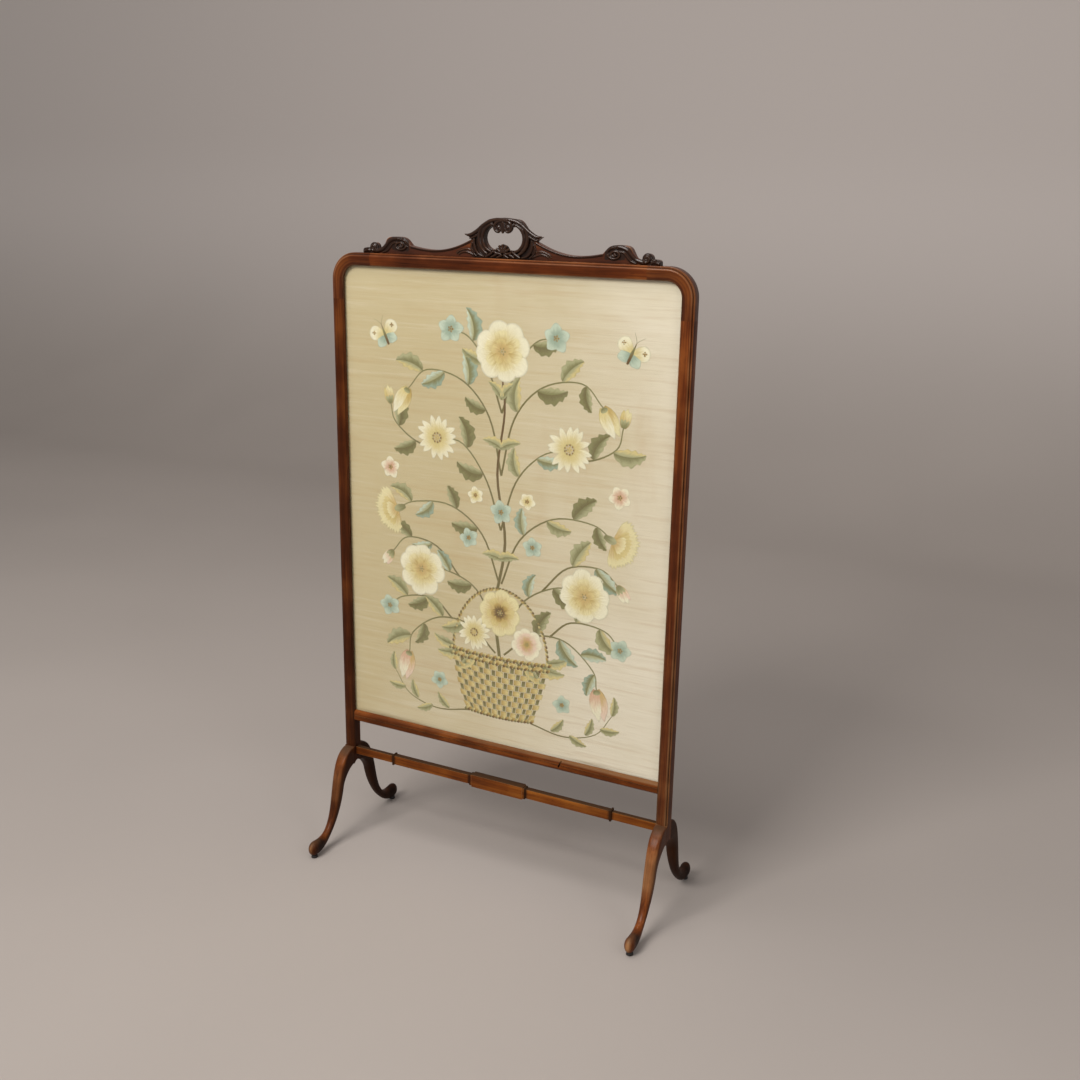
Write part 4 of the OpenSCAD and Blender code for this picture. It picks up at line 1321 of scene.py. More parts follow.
class SCREEN_OT_crest(bpy.types.Operator):
    """Carves the crest with its hand hole, leaves, volutes and rolled ends."""
    bl_idname = "fire_screen.crest"
    bl_label = "Crest"

    def execute(self, context):
        low_plate = crest_plate(-RING_FIELD_BACK)
        cut_or_join(low_plate, hand_hole(), "DIFFERENCE")
        parts = [low_plate]
        for side in (-1, 1):
            field = crest_plate(-FIELD_BACK)
            ends = sorted((side * 48.5 * MM, side * 260 * MM))
            keep = add_box((ends[0], -20 * MM, TOP_Z - 10 * MM), (ends[1], 20 * MM, TOP_Z + 0.1))
            cut_or_join(field, keep, "INTERSECT")
            parts.append(field)
        for side in (-1, 1):
            start_clean()
            bpy.ops.mesh.primitive_cylinder_add(vertices=48, radius=7.9 * MM, depth=9 * MM,
                                                location=crest_place(side * 233, 8.5, 5.5),
                                                rotation=(math.pi / 2, 0, 0))
            parts.append(settle(bpy.context.object, "roll"))
        parts += [add_strokes(), *add_balls()]
        start_clean()
        for part in parts:
            part.select_set(True)
        bpy.context.view_layer.objects.active = low_plate
        bpy.ops.object.join()
        crest = bpy.context.object
        crest.data.remesh_voxel_size = settings().crest.voxel
        bpy.ops.object.voxel_remesh()
        apply_modifier(crest, "SMOOTH", factor=0.5, iterations=2)
        edit(crest)
        bpy.ops.mesh.select_all(action="SELECT")
        bpy.ops.mesh.bisect(plane_co=(0, 0, TOP_Z), plane_no=(0, 0, -1), use_fill=True,
                            clear_outer=True)
        start_clean()
        triangles = sum(len(face.vertices) - 2 for face in crest.data.polygons)
        if triangles > 190000:
            apply_modifier(crest, "DECIMATE", ratio=185000 / triangles)
        pick(crest)
        bpy.ops.object.shade_smooth()
        settle(crest, "crest_carving")
        mark_age(crest, 0.0011, 2, self.rubbed)
        self.darken(crest)
        set_grain(crest, lambda p: p[:, [2, 1, 0]])
        # The carving's rubbed ridges are partly wear and partly painted highlights.
        finish = wood("carved mahogany", tones("frame", 1.08), wear=0.7, hollow=2.1, rough=0.30,
                      coat=0.40, seed=8.9, polish=0.13, mottle=0.3)
        hand_over(crest, finish, "carved_wood", "crest")
        return {"FINISHED"}

    @staticmethod
    def rubbed(p):
        """The foremost carving is rubbed a little more."""
        return 0.22 * np.clip((-p[:, 1] - 2.4 * MM) / (1.2 * MM), 0, 1)

    @staticmethod
    def darken(crest):
        """Darkens the carving, paints shade on the sunken ground between the strands of the ring most of all, and
        darkens faces that point up less, as painted light.
        """
        p = points_of(crest.data)
        x, y, z = np.abs(p[:, 0]) / MM, p[:, 1] / MM, (p[:, 2] - TOP_Z) / MM
        swoop = np.clip(np.minimum(x - 166, 199 - x) / 4, 0, 1) * (z > 6)
        carved = np.maximum(np.clip((54 - x) / 9, 0, 1), np.maximum(swoop, np.clip((x - 221) / 4, 0, 1)))
        # Painted shade on the sunken ground between the ring's strands.
        deep = carved * np.clip((y + 1.9) / 1.6, 0, 1)
        # Painted light: faces that point up are darkened less.
        top = np.clip(point_normals(crest.data)[:, 2], 0, 1) * np.clip(y + 1.2, 0, 1)
        proud = np.clip(-y - 0.9, 0, 1)
        add_dirt_and_shade(crest, (deep * (y < 2.2) + 0.30 * np.maximum(proud, carved)) * (1 - 0.75 * top))


# Panel

def board_outline(inset, back):
    """Outline of the silk's board, drawn in by a distance, with its rounded top corners."""
    low, high = SILK_BOARD
    turn = settings().panel.board_corner - inset
    half, top = high.x - inset, high.z - inset
    right = [(half, low.z + inset), *arc((half - turn, top - turn), turn, 0, 90, 16)]
    return [(x, back, z) for x, z in right] + [(-x, back, z) for x, z in reversed(right)]


class SCREEN_OT_silk(bpy.types.Operator):
    """Stretches the silk over its board and turns it over behind."""
    bl_idname = "fire_screen.silk"
    bl_label = "Silk"

    def execute(self, context):
        s = settings().panel
        low, high = SILK_BOARD
        cloth = add_outline(board_outline(0, low.y), "cloth")
        edit(cloth)
        bpy.ops.mesh.select_all(action="SELECT")
        extrude((0, high.y - low.y, 0))
        close_up(cloth)
        edit(cloth)
        choose_faces(lambda p, n: n.y > 0.9)
        bpy.ops.mesh.inset(thickness=s.turn_over)
        bpy.ops.mesh.delete(type="FACE")
        apply_modifier(cloth, "SOLIDIFY", thickness=s.cloth, offset=1, use_even_offset=True)
        smooth(cloth)
        settle(cloth, "silk_ground")
        hand_over(cloth, self.finish(), "silk", "silk_panel")
        return {"FINISHED"}

    def finish(self):
        """Ribbed silk, a little stained, faded and painted lighter on the right, paler towards the bottom, and soiled
        along the frame with painted shade under the top rail.
        """
        c = settings().colours
        f = Finish("silk")
        coords = f.object_coords()
        x, y, z = f.parts(coords)
        rib = f.noise(coords, (22, 22, 1500), 3, 0.6)
        slub = f.noise(coords, (7, 7, 260), 3, 0.6)
        warp = f.noise(coords, (1700, 30, 30), 2, 0.5)
        cloud = f.noise(coords, (4, 4, 6), 3, 0.55)
        stain = f.noise(coords, (9, 9, 3.5), 4, 0.6).step(0.55, 0.78)
        low = z.math("MAXIMUM", 0.55 - z, 0.0)
        # Paler towards the right, partly fading and partly painted light, and paler towards the bottom.
        fade = (x * 1.45 + low * 0.95 + 0.29 + (cloud - 0.5) * 0.7).step(0.1, 1.0)
        shade = f.mix(fade, tuple(c.silk), tuple(c.silk_pale_and_lit))
        shade = f.mix(rib.step(0.35, 0.75) * 0.22 + slub.step(0.48, 0.85) * 0.26, shade,
                      tuple(c.silk_dark))
        streak = f.noise(coords, (4.5, 4.5, 120), 4, 0.7)
        shade = f.mix(streak.step(0.50, 0.68) * 0.26, shade, tuple(c.silk_stain))
        shade = f.mix((1.0 - streak).step(0.51, 0.68) * 0.18, shade, tuple(c.silk_pale_and_lit))
        shade = f.mix(stain * 0.35, shade, tuple(c.silk_stain))
        # Soiled edges along the frame; under the top rail the same darkening paints the rail's shadow.
        beside = x.math("ABSOLUTE", x).step(SIGHT_X - 5 * MM, SIGHT_X + MM)
        above = z.step(SIGHT_TOP - 4 * MM, SIGHT_TOP)
        below = (-1.0 * z).step(-RAIL[0].z - MEMBER - 7 * MM, -RAIL[0].z - MEMBER)
        edges = z.math("MAXIMUM", z.math("MAXIMUM", beside, above), below)
        smudge = (cloud * 0.5 + slub * 0.5).step(0.45, 0.62)
        shade = f.mix(edges * smudge * 0.6, shade, tuple(c.silk_soil_and_shade))
        return f.surface({
            "Base Color": shade,
            "Roughness": rib * 0.2 + 0.42,
            "Sheen Weight": 0.25,
            "Sheen Roughness": 0.4,
            "Normal": f.bump(rib + slub * 0.6 + warp * 0.5, 0.00012, 0.6),
        })


# How a petal's sides run: start and end of its swell, how full it is, how round its end is, and
# the number and depth of its teeth
NARROW = (0.12, 0.84, 0.75, 0.16, 0, 0)
BROAD = (0.10, 0.66, 0.85, 0.22, 1, 0.05)
ROUND = (0.10, 0.80, 0.65, 0.25, 0, 0)
POINTED = (0.16, 0.985, 0.75, 0.0, 0, 0)
TOOTHED = (0.04, 0.50, 0.95, 0.16, 4, 0.12)
DOT = (0.10, 0.90, 0.5, 0.12, 0, 0)


class Needlework:
    """Collects padded patches of stitches into one mesh. Places are in mm on the panel."""

    def __init__(self, seed):
        self.random = random.Random(seed)
        self.size = 0
        self.parts = {key: [] for key in ("place", "stitch", "root", "tip", "blend", "edge")}
        self.faces = []

    def patch(self, grid, root, tip, level, lean=0.0, height=None, fade=(0.0, 1.0)):
        """A patch whose rows run from the stitches' root to their tip."""
        rows, columns = grid.shape[:2]
        outline = np.vstack([grid[0], grid[1:, -1], grid[-1, -2::-1], grid[-2:0:-1, 0]])
        x, z = outline.T
        if (x * np.roll(z, -1) - z * np.roll(x, -1)).sum() < 0:
            grid = grid[:, ::-1]
        u, v = np.meshgrid(np.linspace(-1, 1, columns), np.linspace(0, 1, rows))
        wide = np.linalg.norm(np.diff(grid, axis=1), axis=2).sum(1).mean()
        long = np.linalg.norm(np.diff(grid, axis=0), axis=2).sum(0).mean()
        s = settings().panel
        height = s.stitch_height / MM if height is None else height
        rise = (1 - np.abs(u) ** 3) * (1 - np.abs(2 * v - 1) ** 6) * min(1, min(wide, long) / 4)
        y = -(s.first_level + level * s.level_step) / MM - rise * height
        seed = self.random.uniform(0, 90)
        along = v * long
        own = {
            "place": np.dstack([grid[..., 0], y, grid[..., 1]]) * MM,
            "stitch": np.dstack([u * wide / 2 + lean * along, along, np.full_like(u, seed)]),
            "root": np.tile((*root, 1.0), (rows, columns, 1)),
            "tip": np.tile((*tip, 1.0), (rows, columns, 1)),
            "blend": fade[0] + (fade[1] - fade[0]) * v,
            "edge": np.maximum(np.abs(u), np.abs(2 * v - 1)) ** 3,
        }
        number = np.arange(rows * columns).reshape(rows, columns) + self.size
        ring = np.concatenate([number[0], number[1:, -1], number[-1, -2::-1], number[-2:0:-1, 0]])
        for key, values in own.items():
            flat = values.reshape(rows * columns, -1)
            under = flat[ring - self.size].copy()
            if key == "place":
                under[:, 1] = s.last_level
            self.parts[key] += [flat, under]
        low = np.arange(len(ring)) + self.size + rows * columns
        quads = np.stack([number[:-1, :-1], number[:-1, 1:], number[1:, 1:], number[1:, :-1]], -1)
        self.faces += quads.reshape(-1, 4).tolist()
        self.faces += np.stack([np.roll(ring, -1), ring, low, np.roll(low, -1)], -1).tolist()
        self.faces.append(low[::-1].tolist())
        self.size += rows * columns + len(ring)

    def petal(self, foot, angle, length, width, form, tones, level, bend=0.0, fade=(0.0, 1.0)):
        """A petal that grows from its foot at an angle in degrees."""
        start, end, full, roundness, teeth, depth = form
        columns = 9 if teeth > 1 else 7
        v, u = np.meshgrid(np.linspace(0, 1, 6), np.linspace(-1, 1, columns), indexing="ij")
        half = width / 2 * np.sin(math.pi * (start + (end - start) * v)) ** full
        short = roundness * u ** 2 + depth * np.abs(np.cos(math.pi * teeth * u / 2))
        run = length * v * (1 - short * v)
        turn = np.radians(angle) + bend * v
        grid = np.dstack([foot[0] + run * np.cos(turn) - u * half * np.sin(turn),
                          foot[1] + run * np.sin(turn) + u * half * np.cos(turn)])
        self.patch(grid, *tones, level, fade=fade)

    def stem(self, points, width, tones, level=0.0, end_width=None):
        """A twisted line of stem stitch along a smooth curve."""
        line = eased_line(points, 6)
        way = np.gradient(line, axis=0)
        way /= np.maximum(np.linalg.norm(way, axis=1, keepdims=True), 1e-9)
        side = np.stack([-way[:, 1], way[:, 0]], axis=1)
        share = np.linspace(0, 1, len(line))[:, None]
        half = between(width, width * 0.45 if end_width is None else end_width, share) / 2
        grid = np.stack([line - side * half, line, line + side * half], axis=1)
        self.patch(grid, *tones, level, lean=0.34, height=0.09)
        return line, way

    def leaf(self, foot, angle, length, width, tones, level, curl=0.3, teeth=5):
        """A toothed leaf of two halves with a fine midrib."""
        t, v = np.meshgrid(np.linspace(0.02, 0.985, 21), np.linspace(0, 1, 4))
        turn = np.radians(angle) + curl * (t - 0.5)
        rib = np.stack([foot[0] + length * t * np.cos(turn), foot[1] + length * t * np.sin(turn)])
        for side, pair in zip((-1, 1), tones):
            spread_out = turn + side * np.radians(66 - 36 * t)
            reach = width * np.sin(math.pi * t ** 0.72) ** 0.8 * (1 - 0.34 * ((t * teeth) % 1)) + 0.3
            grid = np.dstack([rib[0] + v * reach * np.cos(spread_out),
                              rib[1] + v * reach * np.sin(spread_out)])
            self.patch(grid, *pair, level)
        middle = np.stack([rib[0, 0], rib[1, 0]], axis=1)[::3]
        self.stem(middle, 0.9, (tones[0][0],) * 2, level + 1.2)

    def knots(self, centre, radius, count, tones, level):
        """A ring of small knots round one in the middle."""
        places = [centre] + arc(centre, radius, 0, 360 * (1 - 1 / count), count)
        for x, z in places:
            size = self.random.uniform(3.0, 3.8)
            self.petal((x - size / 2, z), 0, size, size, DOT, tones, level)

    def ring(self, centre, count, length, width, form, tones, level, start=0.0, hollow=0.12):
        """A ring of petals round a centre."""
        for k in range(count):
            angle = start + 360 * k / count + self.random.uniform(-4, 4)
            reach = length * self.random.uniform(0.93, 1.06)
            foot = (centre[0] + hollow * length * math.cos(math.radians(angle)),
                    centre[1] + hollow * length * math.sin(math.radians(angle)))
            self.petal(foot, angle, reach * (1 - hollow), width, form, tones,
                       level + 0.5 * (k % 2) + 0.04 * k, self.random.uniform(-0.15, 0.15))

    def finish(self, name):
        """Makes the mesh object of all patches."""
        data = {key: np.concatenate(values) for key, values in self.parts.items()}
        mesh = bpy.data.meshes.new(name)
        mesh.from_pydata(data["place"].tolist(), [], self.faces)
        for key, kind in (("stitch", "FLOAT_VECTOR"), ("root", "FLOAT_COLOR"),
                          ("tip", "FLOAT_COLOR"), ("blend", "FLOAT"), ("edge", "FLOAT")):
            store(mesh, key, data[key], kind)
        obj = bpy.data.objects.new(name, mesh)
        bpy.context.scene.collection.objects.link(obj)
        smooth(obj, math.radians(30))
        return obj


def thread(*names):
    """The colours of threads by name."""
    threads = settings().threads
    return tuple(tuple(getattr(threads, name)) for name in names)


def sew_peony(work, x, z, size, turn, tones):
    """A full round flower of three rings."""
    outer, middle, inner = tones
    work.ring((x, z), 8, 0.50 * size, 0.34 * size, BROAD, outer, 3.0, turn)
    work.ring((x, z), 6, 0.36 * size, 0.28 * size, BROAD, middle, 4.0, turn + 22)
    work.ring((x, z), 5, 0.22 * size, 0.20 * size, ROUND, inner, 5.0, turn + 8)
    work.knots((x, z), 0.055 * size, 6, thread("moss", "gold"), 6.0)


def sew_daisy(work, x, z, size, turn, tones):
    work.ring((x, z), 15, 0.5 * size, 0.15 * size, NARROW, tones[0], 3.0, turn, 0.2)
    work.knots((x, z), 0.10 * size, 9, thread("bark", "gold"), 4.5)
    work.knots((x, z), 0.045 * size, 5, thread("gold", "straw"), 5.2)


def sew_carnation(work, x, z, size, turn, tones):
    """A fan of toothed petals on a green cup, seen from the side."""
    for row, (reach, spread_out, count) in enumerate(((0.62, 66, 7), (0.50, 48, 5), (0.36, 30, 3))):
        for k in range(count):
            angle = turn + between(-spread_out, spread_out, k / (count - 1))
            work.petal((x, z), angle, reach * size * (1 - 0.03 * (k % 2)), 0.30 * size, TOOTHED,
                       tones[row % 2], 3.0 + row + 0.06 * k + 0.3 * (k % 2))
    work.petal(arc((x, z), 0.22 * size, turn + 180, turn + 180, 1)[0], turn, 0.36 * size,
               0.17 * size, ROUND, thread("moss", "sage"), 6.0)


def sew_tulip(work, x, z, size, turn, tones):
    """A cup of pointed petals, seen from the side."""
    for k, (angle, bend, reach) in enumerate(((-24, 0.30, 0.80), (24, -0.30, 0.80), (-11, 0.1, 0.86),
                                              (11, -0.1, 0.86), (0, 0, 0.72))):
        work.petal((x, z), turn + angle, reach * size, (0.34 - 0.02 * k) * size, POINTED,
                   tones[k % 2], 3.0 + 0.6 * k, bend)
    work.petal((x, z), turn, 0.16 * size, 0.22 * size, ROUND, thread("moss", "sage"), 6.2)


def sew_blossom(work, x, z, size, turn, tones):
    """A small flat flower of five petals."""
    work.ring((x, z), 5, 0.5 * size, 0.42 * size, ROUND, tones[0], 3.0, turn, 0.08)
    work.knots((x, z), 0.085 * size, 5, thread("bark", "gold"), 4.6)


def sew_bud(work, x, z, size, turn, tones):
    for k, angle in enumerate((-13, 13, 0)):
        work.petal((x, z), turn + angle, size * (0.9 + 0.1 * (k == 2)), 0.42 * size, POINTED,
                   tones[k % 2], 2.2 + 0.5 * k)
    for k, angle in enumerate((-26, 26, 0)):
        work.petal((x, z), turn + angle, 0.5 * size, 0.24 * size, POINTED, thread("moss", "sage"),
                   4.0 + 0.3 * k)


def sew_butterfly(work, x, z, size, turn):
    wings = thread("straw", "ivory"), thread("sea", "ice")
    for side in (-1, 1):
        work.petal((x, z), turn + side * 58, 0.60 * size, 0.44 * size, BROAD, wings[0], 2.0 + side * 0.2)
        work.petal((x, z), turn + side * 122, 0.42 * size, 0.36 * size, ROUND, wings[1], 3.0 + side * 0.2)
        spot = arc((x, z), 0.40 * size, turn + side * 58, turn + side * 58, 1)[0]
        work.knots(spot, 0.045 * size, 4, thread("bark", "gold"), 4.0)
        tip = arc((x, z), 0.62 * size, turn + side * 16, turn + side * 16, 1)[0]
        work.stem([(x, z), arc((x, z), 0.35 * size, turn, turn, 1)[0], tip], 0.8, thread("bark", "moss"), 1.5)
    foot = arc((x, z), 0.28 * size, turn + 180, turn + 180, 1)[0]
    work.petal(foot, turn, 0.56 * size, 0.10 * size, POINTED, thread("bark", "moss"), 5.0)


def sew_basket(work, base, rim, half_base, half_rim):
    """A woven basket with twisted rim, foot and handle."""
    rows, columns = 10, 15
    for row in range(rows):
        for column in range(columns):
            over = (row + column) % 2 == 0
            low, high = (row + 0.04) / rows, (row + 0.96) / rows
            left, right = (column + (-0.10 if over else 0.22)) / columns, (column + (1.10 if over else 0.78)) / columns
            v, u = np.meshgrid(np.linspace(low, high, 4), np.linspace(left, right, 4), indexing="ij")
            half = between(half_base, half_rim, v ** 0.7)
            x, z = (2 * u - 1) * half, between(base, rim, v) - 5 * (1 - (2 * u - 1) ** 2)
            grid = np.dstack([x, z])
            if over:
                grid = grid.transpose(1, 0, 2)
            tones = thread("gold", "straw") if over else thread("moss", "olive")
            work.patch(grid, *tones, 2.0 if over else 1.0, height=0.2 if over else 0.1)
    for height, half, count, sag in ((rim + 3, half_rim + 4, 30, 5), (rim - 7, half_rim + 1, 28, 5),
                                     (base - 2, half_base + 3, 22, 5)):
        for k in range(count):
            u = 2 * (k + 0.5) / count - 1
            work.petal((u * half - 3.6, height - sag * (1 - u * u) - 3.4), 44, 10, 5.2, DOT,
                       thread("bark", "gold") if k % 2 else thread("olive", "straw"), 4.0 + 0.3 * (k % 2))
    for k in range(46):
        angle = 180 * (k + 0.5) / 46
        x, z = (half_rim - 4) * math.cos(math.radians(angle)), rim + 118 * math.sin(math.radians(angle))
        lean = math.degrees(math.atan2(118 * math.cos(math.radians(angle)),
                                       -(half_rim - 4) * math.sin(math.radians(angle))))
        place = arc((x, z), 5, lean + 205, lean + 205, 1)[0]
        work.petal(place, lean + 25, 10, 4.6, DOT, thread("olive", "gold") if k % 2 else
                   thread("bark", "straw"), 0.6 + 0.3 * (k % 2))


# Branches of the right half: places of the curve, and the flower at its end with its size and turn
BRANCHES = [
    ([(8, 398), (58, 440), (118, 440), (168, 404), (176, 372)], sew_tulip, 62, -78, "blush"),
    ([(4, 430), (44, 500), (104, 528), (150, 520)], sew_peony, 96, 10, "cream"),
    ([(2, 520), (34, 596), (92, 640), (160, 640), (196, 622)], sew_carnation, 74, -20, "honey"),
    ([(0, 610), (26, 690), (70, 742), (118, 752)], sew_daisy, 76, 0, "ivory"),
    ([(0, 700), (22, 790), (70, 846), (136, 856), (172, 826)], sew_tulip, 58, -60, "cream"),
    ([(96, 742), (150, 738), (196, 764), (206, 800)], sew_bud, 30, 78, "honey"),
    ([(76, 520), (120, 566), (176, 574), (206, 548)], sew_bud, 32, -52, "blush"),
    ([(0, 800), (26, 872), (58, 912), (92, 922)], sew_blossom, 46, 20, "sky"),
    ([(90, 444), (128, 476), (186, 470), (214, 446)], sew_blossom, 40, 0, "sky"),
]
SIDE_BLOSSOMS = [(60, 590, 36, "sky"), (206, 690, 38, "blush"), (118, 330, 34, "sky"),
                 (44, 664, 30, "ivory")]


def flower_tones(kind):
    """Colours of a flower's rings, each from root to tip."""
    return {
        "cream": [thread("straw", "ivory"), thread("gold", "cream"), thread("honey", "straw")],
        "honey": [thread("honey", "cream"), thread("gold", "straw"), thread("bark", "gold")],
        "ivory": [thread("straw", "ivory"), thread("cream", "ivory"), thread("gold", "cream")],
        "blush": [thread("rose", "ivory"), thread("honey", "blush"), thread("gold", "rose")],
        "sky": [thread("sea", "ice"), thread("sage", "ice"), thread("moss", "sea")],
    }[kind]


def sew_branch(work, side, points, flower, size, turn, kind):
    """A branch with leaves on both sides, a tendril and a flower at its end."""
    hand = work.random
    points = [(side * x, z + hand.uniform(-3, 3) * (k > 0)) for k, (x, z) in enumerate(points)]
    line, way = work.stem(points, 3.4, thread("olive", "moss"), 0.2 + 0.05 * hand.random(), 1.8)
    greens = [(thread("sage", "straw"), thread("moss", "sage")),
              (thread("moss", "sage"), thread("olive", "moss")),
              (thread("sage", "ice"), thread("moss", "sea"))]
    for number, k in enumerate(range(7, len(line) - 4, 4)):
        out = -1 if number % 2 else 1
        angle = math.degrees(math.atan2(way[k, 1], way[k, 0])) + out * hand.uniform(42, 60)
        length = hand.uniform(38, 56)
        tones = greens[hand.choice((0, 0, 1, 1, 2))]
        work.leaf(line[k], angle, length, length * 0.36, tones[::out], 1.0 + 0.35 * (number % 3),
                  -out * hand.uniform(0.2, 0.6))
    end = line[-1]
    flower_turn = turn if side > 0 else 180 - turn
    flower(work, end[0], end[1], size, flower_turn, flower_tones(kind))


def sew_design(work):
    """A basket of flowers on scrolling branches."""
    hand = work.random
    sew_basket(work, 292, 392, 62, 92)
    work.stem([(0, 388), (-9, 480), (8, 590), (-7, 700), (5, 800), (0, 858)], 6.0, thread("olive", "bark"), 0.5, 3.0)
    for branch in BRANCHES:
        for side in (-1, 1):
            sew_branch(work, side, *branch)
    for x, z, size, kind in SIDE_BLOSSOMS:
        for side in (-1, 1):
            sew_blossom(work, side * (x + hand.uniform(-3, 3)), z + hand.uniform(-3, 3), size,
                        hand.uniform(0, 72), flower_tones(kind))
    sew_peony(work, 0, 896, 104, 14, flower_tones("cream"))
    for x, z, size, kind, flower in ((0, 470, 84, "honey", sew_peony), (-48, 428, 62, "ivory", sew_daisy),
                                     (50, 424, 60, "blush", sew_peony), (0, 640, 40, "sky", sew_blossom)):
        flower(work, x, z, size, hand.uniform(0, 40), flower_tones(kind))
    for side in (-1, 1):
        for angle, place, length in ((200, (70, 392), 50), (172, (84, 398), 44), (236, (48, 392), 46),
                                     (20, (6, 560), 40), (30, (4, 742), 40), (58, (2, 820), 38)):
            turned = angle if side < 0 else 180 - angle
            work.leaf((side * place[0], place[1]), turned, length, length * 0.3,
                      (thread("sage", "straw"), thread("moss", "sage"))[::side], 2.0, side * 0.4)
        sew_butterfly(work, side * 214, 906, 54, 90 + side * -24)
        work.stem([(side * 60, 286), (side * 120, 276), (side * 176, 292), (side * 204, 330)], 2.6, thread("olive", "moss"))
        for x, z, turn in ((96, 281, 40), (130, 281, -30), (158, 287, 62), (184, 304, -4), (204, 330, 78)):
            work.leaf((side * x, z), turn if side > 0 else 180 - turn, 34, 10,
                      (thread("moss", "sage"), thread("sage", "straw"))[::side], 1.2, side * 0.3)


class SCREEN_OT_needlework(bpy.types.Operator):
    """Sews the basket of flowers on the silk."""
    bl_idname = "fire_screen.needlework"
    bl_label = "Needlework"

    def execute(self, context):
        s = settings().panel
        work = Needlework(s.seed)
        sew_design(work)
        flowers = work.finish("needlework")
        hand_over(flowers, self.finish_threads(), "silk")
        return {"FINISHED"}

    def finish_threads(self):
        """Silk thread in long and short stitches."""
        f = Finish("silk thread")
        across, along, seed = f.parts(f.attribute("stitch", "Vector"))
        lines = f.noise(f.vector(across * 2.3, along * 0.07, seed), (1, 1, 1), 2, 0.6)
        fine = f.noise(f.vector(across * 6.5, along * 0.30, seed), (1, 1, 1), 3, 0.6)
        blend = (f.attribute("blend") + lines * 1.1 - 0.55).step(0.15, 0.85)
        shade = f.mix(blend, f.attribute("root", "Color"), f.attribute("tip", "Color"))
        light = lines * 0.34 + fine * 0.40 + 0.66
        shade = f.node("ShaderNodeVectorMath", {"operation": "SCALE"}, {0: shade, "Scale": light})
        edge = f.attribute("edge").step(0.62, 1.0)
        shade = f.mix(edge * 0.30, shade, tuple(settings().threads.shadow))
        ridge = (across * (math.pi / 0.45)).sine()
        return f.surface({
            "Base Color": shade,
            "Roughness": fine * 0.24 + 0.30,
            "Sheen Weight": 0.2,
            "Sheen Roughness": 0.35,
            "Normal": f.bump(ridge * ridge + fine * 0.8, 0.00018, 0.7),
        })


class SCREEN_OT_glass(bpy.types.Operator):
    """Finishes the pane of glass."""
    bl_idname = "fire_screen.glass"
    bl_label = "Glass"

    def execute(self, context):
        f = Finish("old glass")
        smear = f.noise(f.object_coords(), (5, 5, 9), 4, 0.6)
        shine = f.node("ShaderNodeBsdfAnisotropic", None,
                       {"Color": (1, 1, 1, 1), "Roughness": smear.step(0.4, 0.8) * 0.05 + 0.02})
        clear = f.node("ShaderNodeBsdfTransparent", None, {"Color": (0.963, 0.965, 0.958, 1)})
        slant = f.node("ShaderNodeLayerWeight", None, {"Blend": 0.5}, "Facing")
        share = slant.math("POWER", slant, 5) * 0.98 + smear.step(0.5, 0.8) * 0.006 + 0.017
        finish_node("glass_pane", f.end(f.node("ShaderNodeMixShader", None,
                                               {0: share, 1: clear, 2: shine})))
        return {"FINISHED"}


class SCREEN_OT_boards(bpy.types.Operator):
    """Finishes the silk's board, the back board, the dowels and the pins."""
    bl_idname = "fire_screen.boards"
    bl_label = "Boards, dowels and pins"

    def execute(self, context):
        c = settings().colours
        back, board = Vector(c.back), Vector(c.board)
        stained = wood("stained pine", (tuple(0.35 * back), tuple(back), tuple(1.5 * back)), "z",
                       rough=0.62, coat=0.0, seed=11.3)
        card = wood("bare board", (tuple(0.6 * board), tuple(board), tuple(1.25 * board)), "x",
                    rough=0.75, coat=0.0, seed=2.2)
        pegs = wood("dowel beech", (tuple(0.5 * board), tuple(board), tuple(1.2 * board)), "y",
                    rough=0.6, coat=0.0, seed=5.1)
        f = Finish("pin steel")
        dull = f.noise(f.object_coords(), (900, 900, 900), 3)
        shade = f.mix(dull.step(0.35, 0.75), tuple(c.steel), tuple(0.35 * Vector(c.steel)))
        steel = f.surface({"Base Color": shade, "Metallic": 1.0, "Roughness": dull * 0.3 + 0.3,
                           "Normal": f.bump(dull, 0.00005, 0.4)})
        finish_node("back_board", stained)
        finish_node("silk_board", card)
        finish_node("bead_pins", steel)
        for name in ("corner_dowels", "crest_dowels", "leg_dowels"):
            finish_node(name, pegs)
        return {"FINISHED"}


def bead_bar(name, round_side):
    """A straight bead with its free edge rounded."""
    low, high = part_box(name)
    bar = add_box(low, high)
    edit(bar)
    x, z = (low.x + high.x) / 2, (low.z + high.z) / 2
    choose_edges(lambda a, b: min(a.y, b.y) > high.y - MM / 10
                 and ((a + b) / 2 - Vector((x, high.y, z))).dot(Vector(round_side)) > 2 * MM)
    bpy.ops.mesh.bevel(offset=2.4 * MM, segments=6, profile=0.5)
    close_up(bar)
    smooth(bar)
    return settle(bar, f"{name}_strip")


